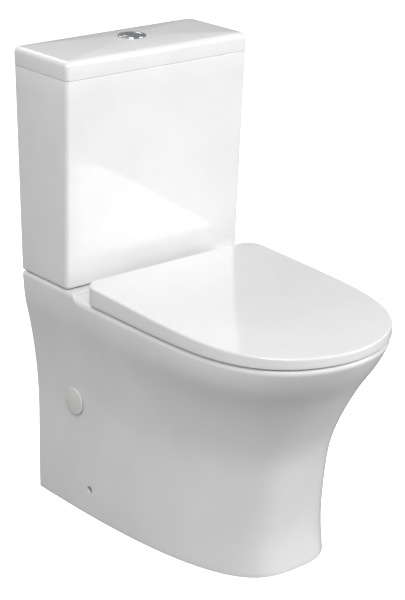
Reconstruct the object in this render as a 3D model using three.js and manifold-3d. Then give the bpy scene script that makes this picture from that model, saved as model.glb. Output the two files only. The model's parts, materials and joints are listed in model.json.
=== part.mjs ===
// A close coupled toilet: a shrouded china pan that stands on the floor against the wall, a china
// tank bolted to it with a dual flush, and a wrap-over seat and cover on soft-close hinges.
// Millimetres, +Z up, +Y to the wall. The origin is on the floor, in the middle of the outline.
import * as THREE from "three";
import { mergeVertices } from "three/addons/utils/BufferGeometryUtils.js";
import Module from "manifold-3d";

const wasm = await Module();
wasm.setup();

// ---- Driving dimensions ----

const touch = 0.3; // gap that is left between pieces that touch
const overrun = 5; // how far a cutting shape runs past the face that it cuts

// Pan
const rimHeight = 410;
const rimHalfWidth = 183;
const rimLength = 644; // from the wall to the nose of the rim
const rimEdgeRadius = 11;
const skirtFlare = 24.5; // how far the rim overhangs the foot at the sides
const skirtOverhang = 125; // and at the nose
const panWall = 13;
const deckThickness = 14;
const platformRise = 7.5;
const platformLedge = 15.8; // from the tank's front to the platform's
const platformSweep = 26; // run of the hollow curve from the rim up to the platform
const platformEdgeRadius = 6;

// Bowl and trap
const rimBand = 46; // width of the rim from its nose to the bowl
const rimSideBand = 51;
const bowlSetback = 49; // from the seat ring's rear edge to the bowl
const bowlDepth = 295;
const bowlWall = 11;
const bowlCorner = 70;
const sumpSetback = 150; // what the bowl's rear wall leans forward by, on its way down
const sumpShare = 0.44; // how far forward the sump's front lies, as a share of the bowl
const trapRadius = 29;
const trapWall = 9;
const trapInset = 10; // between the sump's front and the start of the trap
const weirSetback = 116; // from the outlet's face to the trap's highest place
const weirRise = 125; // from the bottom of the bowl to that place
const outletRadius = 51;
const outletHeight = 180;
const outletSetback = 70;
const ductRadius = 26;
const ductWall = 9;
const spigotLength = 38;
const bossWall = 8; // around the recess for the coupling
const bossFloor = 14; // under that recess

// Side caps, and the pan's fixings to the floor
const capPlugRadius = 20;
const capClearance = 1.5; // around the cap's plug
const capLap = 2.5; // how far the cap reaches past its hole
const capDistance = 116;
const capHeight = 206;
const capRim = 1.2; // straight part of a cap's edge
const capBevel = 2;
const capCrown = 2.8;
const capPlugDepth = 12;
const fixingDistance = 153;
const fixingHeight = 50;
const bracketLength = 44;
const bracketPlate = 3;
const bracketFoot = 34;
const bracketMargin = 16; // from the fixing screw to the bracket's top
const bracketGap = 3; // between a bracket and the skirt's inside
const bracketScrewRadius = 3.5; // hole for the screw into the floor
const screwRadius = 2.3;
const screwPoint = 3;
const screwLength = 34;
const screwHeadRadius = 6;
const screwHeadHeight = 2;
const screwHeadClearance = 1;
const screwHeadSink = 4; // how far the screw's head sits in the skirt's side

// Tank
const tankGap = 2; // open joint between the platform and the tank
const tankHeight = 358;
const tankFootLength = 136.2;
const tankSideLean = 2.6; // how much wider the tank is at its top, on each side
const tankFrontLean = 18.4;
const tankCorner = 7;
const tankFootRadius = 6;
const tankWall = 10;
const tankFloor = 12;
const tankFillet = 4; // between the tank's walls and its floor

// Tank lid
const lidSideOverhang = 0.5;
const lidFrontOverhang = 1;
const lidSide = 32;
const lidEdgeRadius = 9;
const lidCrown = 5;
const lidWall = 11;
const lidChamfer = 1;
const lipDrop = 8;
const lipWidth = 6;
const lipClearance = 3;

// Flush button
const buttonRadius = 16;
const buttonHeight = 7;
const buttonBevel = 1;
const buttonCrown = 0.4;
const buttonSplit = 4; // how far the line between the two buttons lies off centre
const buttonTravel = 6;
const buttonClearance = 0.6;
const bezelRise = 2.6;
const bezelBevel = 1.6;
const bezelDepth = 22;
const bezelFloorThickness = 3;
const bezelFlange = 5; // how far the ring reaches past its sleeve
const sleeveThickness = 2.4;
const sleeveWall = 2; // of the sleeve below the buttons
const sleeveLength = 38;
const sleeveClearance = 1;
const bezelNutWidth = 8;
const bezelNutHeight = 7;
const rodSpread = 18; // distance between the two push rods
const rodRadius = 2.5;
const rodClearance = 0.6;
const rodEngagement = 14; // how deep a rod reaches into the tower's head
const springWire = 0.8;
const springRadius = 4.6;
const springTurns = 4;

// Flush valve and coupling, on one line across the tank
const valveSetback = 5.8; // how far that line lies behind the button
const valveBore = 25;
const valveWall = 4.5;
const valveTailRise = 10; // from the floor of the coupling's recess to the valve's tail
const valveHoleClearance = 2.5;
const valveFlangeLap = 8; // how far the flange reaches past the hole in the tank
const valveFlangeThickness = 4;
const valveSeatRise = 2;
const backnutLap = 10;
const backnutLug = 4;
const backnutLugWidth = 6;
const backnutDrop = 8; // how far the back nut reaches below the platform
const sealThickness = 3;
const towerWall = 3;
const towerClearance = 4; // around the piston's foot
const towerHeight = 210;
const towerShoulder = 30;
const towerHeadRadius = 22;
const towerHeadHeight = 34;
const towerWindowHeight = 62;
const towerWindowWidth = 22;
const pistonLift = 18;
const pistonClearance = 8; // between the raised overflow pipe and the tower's shoulder
const pistonFoot = 4;
const pistonWall = 2;
const overflowRadius = 14;
const couplingRecess = 24;
const gasketClearance = 1;
const gasketRim = 9; // width of the gasket around the back nut

// Tank bolts
const boltRadius = 4;
const boltClearance = 2;
const boltMargin = 14; // between a bolt's middle and the boss of the coupling
const boltEnd = 26; // how far a bolt reaches below the deck
const boltHeadRadius = 9;
const boltHeadHeight = 5;
const boltHeadBevel = 3;
const boltWasherRadius = 11;
const washerThickness = 3;
const wingNutRadius = 8;
const wingNutHeight = 12;
const wingLength = 36;
const wingWidth = 4;
const wingDrop = 5;
const wingHeight = 9;

// Fill valve
const fillBore = 6;
const fillTailRadius = 10.2;
const fillTailDrop = 44; // how far its tail reaches below the tank
const fillHoleClearance = 1.8;
const fillCollarRadius = 17;
const fillCollarHeight = 9;
const fillColumnRadius = 9;
const fillHeadRadius = 19;
const fillHeadHeight = 42;
const fillHeadTaper = 8;
const fillHeadroom = 38; // between the valve's top and the tank's
const fillNutRadius = 18;
const fillNutHeight = 11;
const fillNutClearance = 6;
const floatStart = 70; // from the tank's floor to the float at its lowest
const floatHeight = 80;
const floatRadius = 27;
const floatWall = 2;
const floatCap = 4;
const floatClearance = 2;
const floatGap = 4; // between the float and the tank's side

// Seat and cover
const coverOverhang = 1; // how far the cover's nose stands past the rim's
const coverInset = 1; // from the rim's side to the cover's
const coverRearGap = 2.2; // between the platform's hollow front and the cover
const coverFall = 16.4; // how much lower the cover's top lies at its nose than at its rear
const coverWall = 4.5;
const coverGap = 2.3; // between the pan's rim and the cover's lower edge
const coverCorner = 30;
const coverEdgeRadius = 3.5;
const coverFootBevel = 0.8;
const ringClearance = 1.5; // between the cover's inside and the ring
const ringHeadroom = 3; // between the ring's top and the cover's underside
const ringRounding = 2.5;
const ringSetback = 24; // from the hinge's axis to the ring's rear edge
const ringCorner = 14;
const ringNoseBand = 58; // width of the ring at its nose
const ringSideBand = 64;
const ringRearBand = 73;
const ringHoleCorner = 60;
const bufferHeight = 3.5;
const ringBufferRadius = 8;
const frontBufferOffset = 62;
const frontBufferSetback = 41; // from the cover's nose
const rearBufferInset = 40; // from the cover's side
const rearBufferSetback = 87; // from the ring's rear edge
const coverBufferRadius = 6;
const coverBufferOffset = 80;
const coverBufferSetback = 49; // from the cover's nose

// Hinges
const hingeInset = 8.8; // from the cover's rear edge to the axis
const hingeRise = 23; // from the rim to the axis
const hingeHeadroom = 0.8; // between the knuckles and the cover, at its rear edge
const hingeSpread = 155; // distance between the two seat fixings
const hingePinRadius = 3;
const pinClearance = 0.3;
const knuckleRadius = 7.2;
const knuckleLength = 26;
const earLength = 16;
const earRadius = 7;
const earGap = 0.5; // between an ear and the knuckle beside it
const earWebHalf = 5;
const earArmDrop = 6;
const openingMargin = 6; // beside the cover's outer ears
const postRadius = 7;
const postFootRadius = 11;
const postFootHeight = 3;
const studRadius = 3.5;
const studClearance = 3.5;
const studTop = 10;
const studSpace = 2.3; // over the stud's end, inside the post
const studEnd = 22; // how far a stud reaches below the deck
const hingeWasherRadius = 13;
const hingeWasherHeight = 4;
const hingeNutRadius = 11;
const hingeNutHeight = 12;

// How square each outline is, across and lengthways
const footShape = [3.1, 2.65];
const rimShape = [1.88, 7.97];
const bowlShape = [2.1, 2.6];
const coverShape = [1.88, 5.75];
const ringShape = [1.88, 5.4];
const holeShape = [2, 2.6];

// ---- Sizes worked out from those above ----

// Outlines
const depth = rimLength + coverOverhang;
const footHalfWidth = rimHalfWidth - skirtFlare;
const footLength = rimLength - skirtOverhang;
const tankFootHalfWidth = rimHalfWidth;
const tankTopHalfWidth = tankFootHalfWidth + tankSideLean;
const tankTopLength = tankFootLength + tankFrontLean;
const lidHalfWidth = tankTopHalfWidth + lidSideOverhang;
const lidLength = tankTopLength + lidFrontOverhang;
const platformLength = tankFootLength + platformLedge;
const coverHalfWidth = rimHalfWidth - coverInset;
const bowlHalfWidth = rimHalfWidth - rimSideBand;
const ringHoleHalfWidth = coverHalfWidth - ringSideBand;

// Distances from the wall
const buttonDistance = lidLength / 2;
const fittingsDistance = buttonDistance - valveSetback;
const coverRear = platformLength + platformSweep + coverRearGap;
const hingeDistance = coverRear + hingeInset;
const ringRear = hingeDistance + ringSetback;
const ringHoleRear = ringRear + ringRearBand;
const bowlRear = ringRear + bowlSetback;
const bowlNose = rimLength - rimBand;
const sumpNose = bowlRear + (bowlNose - bowlRear) * sumpShare;
const coverBufferDistance = depth - coverBufferSetback;

// Heights
const platformHeight = rimHeight + platformRise;
const deckUnderside = rimHeight - deckThickness;
const recessFloor = platformHeight - couplingRecess;
const bossBottom = recessFloor - bossFloor;
const tankBottom = platformHeight + tankGap;
const tankTop = tankBottom + tankHeight;
const tankInside = tankBottom + tankFloor;
const lidBottom = tankTop + touch;
const lidEdgeTop = lidBottom + lidSide;
const lidTop = lidEdgeTop + lidCrown;
const coverBottom = rimHeight + coverGap;
const ringBottom = rimHeight + bufferHeight;
const hingeHeight = rimHeight + hingeRise;
const coverRearHeight = hingeHeight + knuckleRadius + hingeHeadroom + coverWall;
const bezelTop = lidTop + bezelRise;
const bezelFloor = bezelTop - bezelDepth;
const buttonBottom = bezelTop - buttonHeight;
const seatTop = tankInside + valveFlangeThickness + valveSeatRise;
const sealTop = seatTop + touch + sealThickness;
const towerTop = seatTop + towerHeight;
const headTop = towerTop + towerHeadHeight;
const tailEnd = recessFloor + valveTailRise;
const backnutBottom = platformHeight - backnutDrop;
const underHead = tankInside + washerThickness + 2 * touch; // where a head rests on its washer
const floatBottom = tankInside + floatStart;
const fillHeadTop = tankTop - fillHeadroom;

// Radii of what fits together
const capHoleRadius = capPlugRadius + capClearance;
const capRadius = capHoleRadius + capLap;
const fixingHoleRadius = screwHeadRadius + screwHeadClearance;
const sleeveBore = buttonRadius + buttonClearance;
const sleeveRadius = sleeveBore + sleeveThickness;
const bezelRadius = sleeveRadius + bezelFlange;
const bezelNutRadius = sleeveRadius + bezelNutWidth;
const valveTailRadius = valveBore + valveWall;
const valveHoleRadius = valveTailRadius + valveHoleClearance;
const valveFlangeRadius = valveHoleRadius + valveFlangeLap;
const backnutRadius = valveHoleRadius + backnutLap;
const gasketLedgeRadius = backnutRadius + backnutLug + 2 * gasketClearance;
const couplingRecessRadius = gasketLedgeRadius + gasketRim + gasketClearance;
const towerRadius = valveBore + pistonFoot + towerClearance + towerWall;
const boltHoleRadius = boltRadius + boltClearance;
const studHoleRadius = studRadius + studClearance;
const fillHoleRadius = fillTailRadius + fillHoleClearance;
const fillClearanceRadius = fillNutRadius + fillNutClearance;

// Places across the toilet
const boltSpread = 2 * (couplingRecessRadius + bossWall + boltMargin);
const fillOffset = tankFootHalfWidth - tankWall - floatRadius - floatGap;
const earOuter = hingeSpread / 2 + knuckleLength / 2 + earGap; // where the cover's ears begin
const earInner = hingeSpread / 2 - knuckleLength / 2 - earGap; // where the ring's ears begin
const rearOpening = earOuter + earLength + openingMargin;
const rodPlaces = [
  ["half", -1, -rodSpread / 2],
  ["full", 1, rodSpread / 2],
];

const fromWall = (distance) => depth / 2 - distance;
const sides = [
  ["left", -1],
  ["right", 1],
];

// ---- Solids ----

function solid(geometry) {
  const bare = geometry.index ? geometry.toNonIndexed() : geometry.clone();
  bare.deleteAttribute("normal");
  bare.deleteAttribute("uv");
  const merged = mergeVertices(bare, 1e-4);
  return new wasm.Manifold(
    new wasm.Mesh({
      numProp: 3,
      vertProperties: merged.getAttribute("position").array,
      triVerts: new Uint32Array(merged.index.array),
    }),
  );
}

function geometryOf(made) {
  const mesh = made.getMesh();
  const geometry = new THREE.BufferGeometry();
  geometry.setAttribute("position", new THREE.BufferAttribute(mesh.vertProperties, 3));
  geometry.setIndex(new THREE.BufferAttribute(mesh.triVerts, 1));
  geometry.computeVertexNormals();
  return geometry;
}

// Joins the first list of geometries, then cuts the second list out of them.
function shaped(joined, cuts = []) {
  let made = solid(joined[0]);
  for (const piece of joined.slice(1)) made = made.add(solid(piece));
  for (const piece of cuts) made = made.subtract(solid(piece));
  return geometryOf(made);
}

// A solid of changing section: a round bar whose rings of points move onto the given rings.
function loft(rings) {
  const count = rings[0].length;
  const circle = rings[0].map((_, i) => {
    const turn = (2 * Math.PI * i) / count;
    return new THREE.Vector2(Math.cos(turn), Math.sin(turn));
  });
  const layers = rings.length - 1;
  const bar = new THREE.ExtrudeGeometry(new THREE.Shape(circle), {
    depth: layers,
    steps: layers,
    bevelEnabled: false,
  });
  const spots = bar.getAttribute("position");
  for (let i = 0; i < spots.count; i++) {
    const turn = Math.atan2(spots.getY(i), spots.getX(i)) / (2 * Math.PI);
    const place = rings[Math.round(spots.getZ(i))][(Math.round(turn * count) + count) % count];
    spots.setXYZ(i, place.x, place.y, place.z);
  }
  return bar;
}

function block(x0, x1, y0, y1, z0, z1) {
  const box = new THREE.BoxGeometry(x1 - x0, y1 - y0, z1 - z0);
  return box.translate((x0 + x1) / 2, (y0 + y1) / 2, (z0 + z1) / 2);
}

function bar(radius, bottom, top, faces = 20) {
  const cylinder = new THREE.CylinderGeometry(radius, radius, top - bottom, faces);
  return cylinder.rotateX(Math.PI / 2).translate(0, 0, (top + bottom) / 2);
}

function crossBar(radius, x0, x1, faces = 20) {
  return bar(radius, x0, x1, faces).rotateY(Math.PI / 2);
}

// A solid turned about the vertical from its profile of [radius, height] pairs.
function turned(profile, faces = 20) {
  const points = profile.map(([radius, height]) => new THREE.Vector2(radius, height));
  return new THREE.LatheGeometry(points, faces).rotateX(Math.PI / 2);
}

function washer(bore, radius, bottom, top, faces = 20) {
  return turned(
    [[bore, bottom], [radius, bottom], [radius, top], [bore, top], [bore, bottom]],
    faces,
  );
}

// A round bar bent along a route of [distance from the wall, height] pairs on the middle plane.
function bentBar(radius, route, steps, faces = 12) {
  const spots = route.map(([distance, height]) => new THREE.Vector3(0, fromWall(distance), height));
  const round = new THREE.Shape().absarc(0, 0, radius, 0, 2 * Math.PI);
  const outline = new THREE.Shape(round.getSpacedPoints(faces).slice(0, faces));
  return new THREE.ExtrudeGeometry(outline, {
    extrudePath: new THREE.CatmullRomCurve3(spots),
    steps,
    curveSegments: faces,
  });
}

// ---- Outlines: half of each, as points of [half width, distance from the wall] ----

const halfPoints = 21;

// Half of a rounded outline from its rear edge to its nose, in evenly spaced points.
function halfOutline(halfWidth, rear, nose, [sideways, lengthways], corner = 0) {
  const points = [];
  for (let i = 0; i < 6 && corner > 0; i++) {
    const turn = (i / 6) * (Math.PI / 2);
    const across = halfWidth - corner + corner * Math.sin(turn);
    points.push(new THREE.Vector2(across, rear + corner - corner * Math.cos(turn)));
  }
  const start = Math.asin((corner / (nose - rear)) ** (lengthways / 2));
  for (let i = 0; i <= 60; i++) {
    const turn = start + (i / 60) * (Math.PI / 2 - start);
    const across = halfWidth * Math.max(Math.cos(turn), 0) ** (2 / sideways);
    points.push(new THREE.Vector2(across, rear + (nose - rear) * Math.sin(turn) ** (2 / lengthways)));
  }
  return new THREE.SplineCurve(points).getSpacedPoints(halfPoints - 1);
}

// A whole ring from half an outline. `height` is a number, or gives it from the distance.
function ringOf(half, height) {
  const at = (point, side) => {
    const z = typeof height === "number" ? height : height(point.y);
    return new THREE.Vector3(side * point.x, fromWall(point.y), z);
  };
  const left = half.map((point) => at(point, -1));
  const right = half.slice(0, -1).reverse().map((point) => at(point, 1));
  left[left.length - 1].x = 0;
  return [...left, ...right];
}

// A rectangle with round corners, as a ring of points.
function boxRing(halfWidth, rear, nose, radius, height, cornerPoints = 4) {
  const ring = [];
  const corners = [
    [halfWidth - radius, rear + radius, 0],
    [-halfWidth + radius, rear + radius, 1],
    [-halfWidth + radius, nose - radius, 2],
    [halfWidth - radius, nose - radius, 3],
  ];
  for (const [x, distance, quarter] of corners)
    for (let i = 0; i < cornerPoints; i++) {
      const turn = (quarter + i / (cornerPoints - 1)) * (Math.PI / 2);
      const y = fromWall(distance) + radius * Math.sin(turn);
      ring.push(new THREE.Vector3(x + radius * Math.cos(turn), y, height));
    }
  return ring;
}

// ---- Pan ----

// The skirt leans in a little above the foot, then flares out to the rim. Each list gives a height
// as a share of the rim's, and how much of the way from the foot's outline to the rim's it has gone.
const flareHeights = [0, 0.11, 0.37, 0.51, 0.63, 0.73, 0.82, 0.89, 1];
const noseFlare = [0, -0.04, 0.03, 0.12, 0.28, 0.46, 0.65, 0.82, 1.03];
const sideFlare = [0, -0.01, -0.1, -0.06, 0.1, 0.31, 0.57, 0.79, 0.93];
const noseCurve = new THREE.CubicInterpolant(flareHeights, noseFlare, 1);
const sideCurve = new THREE.CubicInterpolant(flareHeights, sideFlare, 1);

const footOutline = halfOutline(footHalfWidth, 0, footLength, footShape);
const rimOutline = halfOutline(rimHalfWidth, 0, rimLength, rimShape);

// Half of the skirt's outline at a height, drawn in by `inset` all round.
function skirtOutline(height, inset = 0) {
  const share = THREE.MathUtils.clamp(height / rimHeight, 0, 1);
  const nose = noseCurve.evaluate(share)[0];
  const side = sideCurve.evaluate(share)[0];
  const halfWidth = THREE.MathUtils.lerp(footHalfWidth, rimHalfWidth, side);
  const length = THREE.MathUtils.lerp(footLength, rimLength, nose);
  return footOutline.map((foot, i) => {
    const x = THREE.MathUtils.lerp(foot.x, rimOutline[i].x, side);
    const y = THREE.MathUtils.lerp(foot.y, rimOutline[i].y, nose);
    return new THREE.Vector2(x * (1 - inset / halfWidth), y * (1 - inset / length));
  });
}

// Half width of the skirt at a height and a distance from the wall.
function skirtHalfWidth(height, distance) {
  const half = skirtOutline(height);
  const next = half.findIndex((point) => point.y >= distance);
  const before = half[next - 1];
  const share = (distance - before.y) / (half[next].y - before.y);
  return THREE.MathUtils.lerp(before.x, half[next].x, share);
}

function skirtBody() {
  const rings = [];
  const straight = rimHeight - rimEdgeRadius;
  const levels = [0, 0.1, 0.23, 0.37, 0.49, 0.6, 0.7, 0.79, 0.87, 0.94, 1];
  for (const level of levels) rings.push(ringOf(skirtOutline(level * straight), level * straight));
  for (let i = 1; i <= 3; i++) {
    const turn = (i / 3) * (Math.PI / 2);
    const height = straight + rimEdgeRadius * Math.sin(turn);
    rings.push(ringOf(skirtOutline(height, rimEdgeRadius * (1 - Math.cos(turn))), height));
  }
  return loft(rings);
}

// The platform that carries the tank: it stands on the rim with a hollow curve in front.
function platformBody() {
  const start = rimHeight - rimEdgeRadius;
  const sideInset = 0.2;
  const ring = (height, inset, nose) =>
    boxRing(skirtHalfWidth(height, platformLength) - inset, inset, nose, platformEdgeRadius, height);
  const rings = [ring(start, sideInset, platformLength + platformSweep)];
  const edge = platformHeight - platformEdgeRadius / 2;
  for (let i = 0; i <= 3; i++) {
    const turn = (i / 3) * (Math.PI / 2);
    const height = rimHeight - 1 + (edge - rimHeight + 1) * (1 - Math.cos(turn));
    rings.push(ring(height, sideInset, platformLength + platformSweep * (1 - Math.sin(turn))));
  }
  rings.push(ring(edge + platformEdgeRadius * 0.35, platformEdgeRadius * 0.3, platformLength - 2));
  rings.push(ring(platformHeight, platformEdgeRadius, platformLength - platformEdgeRadius));
  return loft(rings);
}

// The room inside the skirt, open to the floor and to the wall, drawn in by `extra` more.
function skirtRoom(extra = 0) {
  const levels = [0.15, 0.38, 0.56, 0.71, 0.83, 0.92, 1].map((share) => share * (deckUnderside - extra));
  const rings = [-overrun, ...levels].map((height) => {
    const half = skirtOutline(height, panWall + extra);
    for (const point of half) point.y -= overrun * (1 - point.y / rimLength);
    return ringOf(half, height);
  });
  return loft(rings);
}

// The bowl's hollow from the rim down to the sump, swollen by `extra` to make its outside. Each level
// gives how far down it lies, its width, how far its rear wall leans in, and how far it reaches ahead.
function bowlBody(extra, top) {
  const levels = [
    [1, 0.16, 0.5, sumpShare],
    [0.93, 0.31, 0.43, 0.53],
    [0.8, 0.43, 0.36, 0.61],
    [0.6, 0.62, 0.22, 0.73],
    [0.42, 0.79, 0.12, 0.83],
    [0.25, 0.92, 0.05, 0.93],
    [0.12, 1, 0, 0.985],
    [0.045, 1.01, 0, 1],
    [0, 1, 0, 1],
  ];
  const rings = levels.map(([down, width, rear, nose]) => {
    const half = halfOutline(
      bowlHalfWidth * width + extra,
      bowlRear + rear * sumpSetback - extra,
      bowlRear + (bowlNose - bowlRear) * nose + extra,
      bowlShape,
      Math.min(bowlCorner, bowlHalfWidth * width * 0.6),
    );
    return ringOf(half, rimHeight - bowlDepth * down - extra * (down > 0.9 ? 1 : 0));
  });
  rings[rings.length - 1].forEach((point) => (point.z = top));
  return loft(rings);
}

// The trap dips under the bowl, climbs to its weir and drops to the outlet. The climb gives shares
// of the way to the weir and of its height, the fall gives shares of the way on to the outlet.
const climb = [[0, 0.28], [0.21, 0.12], [0.42, 0.09], [0.62, 0.25], [0.75, 0.58], [0.86, 0.89], [1, 1]];
const fall = [[0.29, 0.23], [0.55, 0.63], [0.8, 0.93], [1, 1]];
const bowlBottom = rimHeight - bowlDepth;
const trapStart = sumpNose - trapInset;
const weir = [outletSetback + weirSetback, bowlBottom + weirRise];
const outletStart = [outletSetback + trapRadius / 2, outletHeight];
const along = (from, to, [ahead, up]) => [
  THREE.MathUtils.lerp(from[0], to[0], ahead),
  THREE.MathUtils.lerp(from[1], to[1], up),
];
const outletRoute = [
  ...climb.map((shares) => along([trapStart, bowlBottom], weir, shares)),
  ...fall.map((shares) => along(weir, outletStart, shares)),
  [outletSetback, outletHeight],
];
const outletBeyond = [...outletRoute, [outletSetback - 3 * overrun, outletHeight]];

// The duct leads from the coupling to the back of the bowl, under the deck.
const ductRoute = [
  [fittingsDistance, rimHeight - 8],
  [fittingsDistance, rimHeight - 40],
  [fittingsDistance + 32, rimHeight - 68],
  [fittingsDistance + 110, rimHeight - 62],
  [bowlRear - 4, rimHeight - 48],
];
const ductBeyond = [[fittingsDistance, platformHeight], ...ductRoute, [bowlRear + 24, rimHeight - 44]];

// The skirt, the rim and the platform. The pan is cast in parts that are stuck together before firing.
function pan() {
  const fittings = fromWall(fittingsDistance);
  const boss = bar(couplingRecessRadius + bossWall, bossBottom, rimHeight - 2, 28);
  let made = solid(skirtBody()).add(solid(platformBody())).subtract(solid(skirtRoom()));
  made = made.add(solid(boss.translate(0, fittings, 0)));
  const cuts = [
    bowlBody(0, rimHeight + overrun),
    bar(ductRadius, bossBottom - overrun, platformHeight, 24).translate(0, fittings, 0),
    bar(couplingRecessRadius, recessFloor, platformHeight + overrun, 28)
      .translate(0, fittings, 0),
    bar(fillClearanceRadius, deckUnderside - overrun, platformHeight + overrun)
      .translate(fillOffset, fittings, 0),
  ];
  for (const [, side] of sides) {
    const x = (side * boltSpread) / 2;
    const seatX = (side * hingeSpread) / 2;
    const reach = side * rimHalfWidth;
    cuts.push(
      bar(boltHoleRadius, deckUnderside - overrun, platformHeight + overrun, 14).translate(x, fittings, 0),
      bar(studHoleRadius, deckUnderside - overrun, rimHeight + overrun, 14)
        .translate(seatX, fromWall(hingeDistance), 0),
      crossBar(capHoleRadius, Math.min(reach / 2, reach), Math.max(reach / 2, reach), 24)
        .translate(0, fromWall(capDistance), capHeight),
      crossBar(fixingHoleRadius, Math.min(reach / 2, reach), Math.max(reach / 2, reach), 14)
        .translate(0, fromWall(fixingDistance), fixingHeight),
    );
  }
  for (const piece of cuts) made = made.subtract(solid(piece));
  return geometryOf(made);
}

// The bowl hangs in the skirt's room, under the rim.
function panBowl() {
  const room = solid(skirtRoom(touch));
  const made = solid(bowlBody(bowlWall, rimHeight)).subtract(solid(bowlBody(0, rimHeight + overrun)));
  const cuts = [bentBar(trapRadius, outletBeyond, 15), bentBar(ductRadius, ductBeyond, 9)];
  return geometryOf(cuts.reduce((left, piece) => left.subtract(solid(piece)), made.intersect(room)));
}

// A pipe of the casting that starts at the bowl's outside.
function panPipe(outside, bore, extras = []) {
  const bowl = solid(bowlBody(bowlWall + touch, rimHeight));
  let made = solid(outside);
  for (const piece of extras) made = made.add(solid(piece));
  return made.subtract(solid(bore)).subtract(bowl);
}

function panTrap() {
  const spigot = bar(outletRadius, -spigotLength, 0, 28)
    .rotateX(-Math.PI / 2)
    .translate(0, fromWall(outletSetback), outletHeight);
  const outside = bentBar(trapRadius + trapWall, outletRoute, 14);
  return geometryOf(panPipe(outside, bentBar(trapRadius, outletBeyond, 15), [spigot]));
}

function panDuct() {
  const room = solid(skirtRoom(touch));
  const boss = bar(couplingRecessRadius + bossWall + touch, bossBottom - touch, platformHeight, 28);
  const outside = bentBar(ductRadius + ductWall, ductRoute, 7);
  const made = panPipe(outside, bentBar(ductRadius, ductBeyond, 9)).intersect(room);
  return geometryOf(made.subtract(solid(boss.translate(0, fromWall(fittingsDistance), 0))));
}

// A push-in cap over the access hole in the skirt's side.
function sideCap() {
  return turned(
    [[0, -capPlugDepth], [capPlugRadius, -capPlugDepth], [capPlugRadius, 0], [capRadius, 0],
      [capRadius, capRim], [capRadius - capBevel, capRim + capBevel / 2], [0, capCrown]],
    28,
  ).rotateY(Math.PI / 2);
}

// The floor bracket that the skirt is screwed to from its side.
function floorBracket() {
  const half = bracketLength / 2;
  const sideHole = crossBar(screwRadius + touch, -overrun, bracketPlate + overrun, 12);
  const floorHole = bar(bracketScrewRadius, -overrun, overrun, 12);
  return shaped(
    [
      block(0, bracketPlate, -half, half, touch, fixingHeight + bracketMargin),
      block(-bracketFoot, bracketPlate, -half, half, touch, touch + bracketPlate),
    ],
    [sideHole.translate(0, 0, fixingHeight), floorHole.translate(-bracketFoot / 2, 0, 0)],
  );
}

function fixingScrew() {
  return turned(
    [[0, -screwLength], [screwRadius, screwPoint - screwLength], [screwRadius, -screwPoint],
      [screwHeadRadius, 0], [screwHeadRadius - touch, screwHeadHeight / 2], [0, screwHeadHeight]],
    14,
  ).rotateY(Math.PI / 2);
}

// ---- Tank ----

function tank() {
  const ring = (height, inset) => {
    const share = (height - tankBottom) / tankHeight;
    const halfWidth = THREE.MathUtils.lerp(tankFootHalfWidth, tankTopHalfWidth, share) - inset;
    const nose = THREE.MathUtils.lerp(tankFootLength, tankTopLength, share) - inset;
    return boxRing(halfWidth, inset, nose, Math.max(tankCorner - inset * 0.5, 2), height);
  };
  const outside = [];
  for (let i = 0; i <= 2; i++) {
    const turn = (i / 2) * (Math.PI / 2);
    const height = tankBottom + tankFootRadius * (1 - Math.cos(turn));
    outside.push(ring(height, tankFootRadius * (1 - Math.sin(turn))));
  }
  outside.push(ring(tankTop, 0));
  const inside = [ring(tankInside, tankWall + tankFillet), ring(tankInside + tankFillet, tankWall)];
  inside.push(ring(tankTop + overrun, tankWall));
  const fittings = fromWall(fittingsDistance);
  const hole = (radius, x, faces) =>
    bar(radius, tankBottom - overrun, tankInside + overrun, faces).translate(x, fittings, 0);
  return shaped(
    [loft(outside)],
    [
      loft(inside),
      hole(valveHoleRadius, 0, 24),
      hole(fillHoleRadius, fillOffset, 16),
      ...sides.map(([, side]) => hole(boltHoleRadius, (side * boltSpread) / 2, 14)),
    ],
  );
}

function tankLid() {
  const box = (inset, radius, height, sideInset = inset) =>
    boxRing(lidHalfWidth - sideInset, inset, lidLength - inset, radius, height);
  const outside = [box(lidChamfer, tankCorner, lidBottom), box(0, tankCorner, lidBottom + lidChamfer)];
  for (let i = 0; i <= 3; i++) {
    const turn = (i / 3) * (Math.PI / 2) * 0.9;
    const inset = lidEdgeRadius * (1 - Math.cos(turn));
    outside.push(box(inset, tankCorner + inset / 2, lidEdgeTop - lidEdgeRadius * (1 - Math.sin(turn))));
  }
  const crownEnd = 0.6; // share of the way in from the edge where the crown levels out
  for (const share of [crownEnd / 2, crownEnd]) {
    const inset = lidEdgeRadius + share * (lidLength / 2 - lidEdgeRadius - bezelRadius);
    const height = lidTop - lidCrown * (1 - share / crownEnd) ** 2 * 0.8;
    outside.push(box(inset, tankCorner * 2, height, 2 * inset));
  }
  const roof = lidEdgeTop - lidWall;
  const hollow = [lidBottom - overrun, roof].map((height) => box(lidWall, tankCorner, height));
  const lipRing = (inset, height) =>
    boxRing(tankTopHalfWidth - inset, inset, tankTopLength - inset, tankCorner, height);
  const lipInset = tankWall + lipClearance;
  const lip = [lidBottom - lipDrop, roof + 1].map((height) => lipRing(lipInset, height));
  const lipRoom = [lidBottom - lipDrop - overrun, roof + 2].map((height) =>
    lipRing(lipInset + lipWidth, height),
  );
  const buttonHole = bar(sleeveRadius + sleeveClearance, lidBottom - overrun, lidTop + overrun, 24);
  const made = solid(loft(outside)).subtract(solid(loft(hollow)));
  const frame = solid(loft(lip)).subtract(solid(loft(lipRoom)));
  return geometryOf(
    made.add(frame).subtract(solid(buttonHole.translate(0, fromWall(buttonDistance), 0))),
  );
}

// ---- Flush button ----

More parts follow.
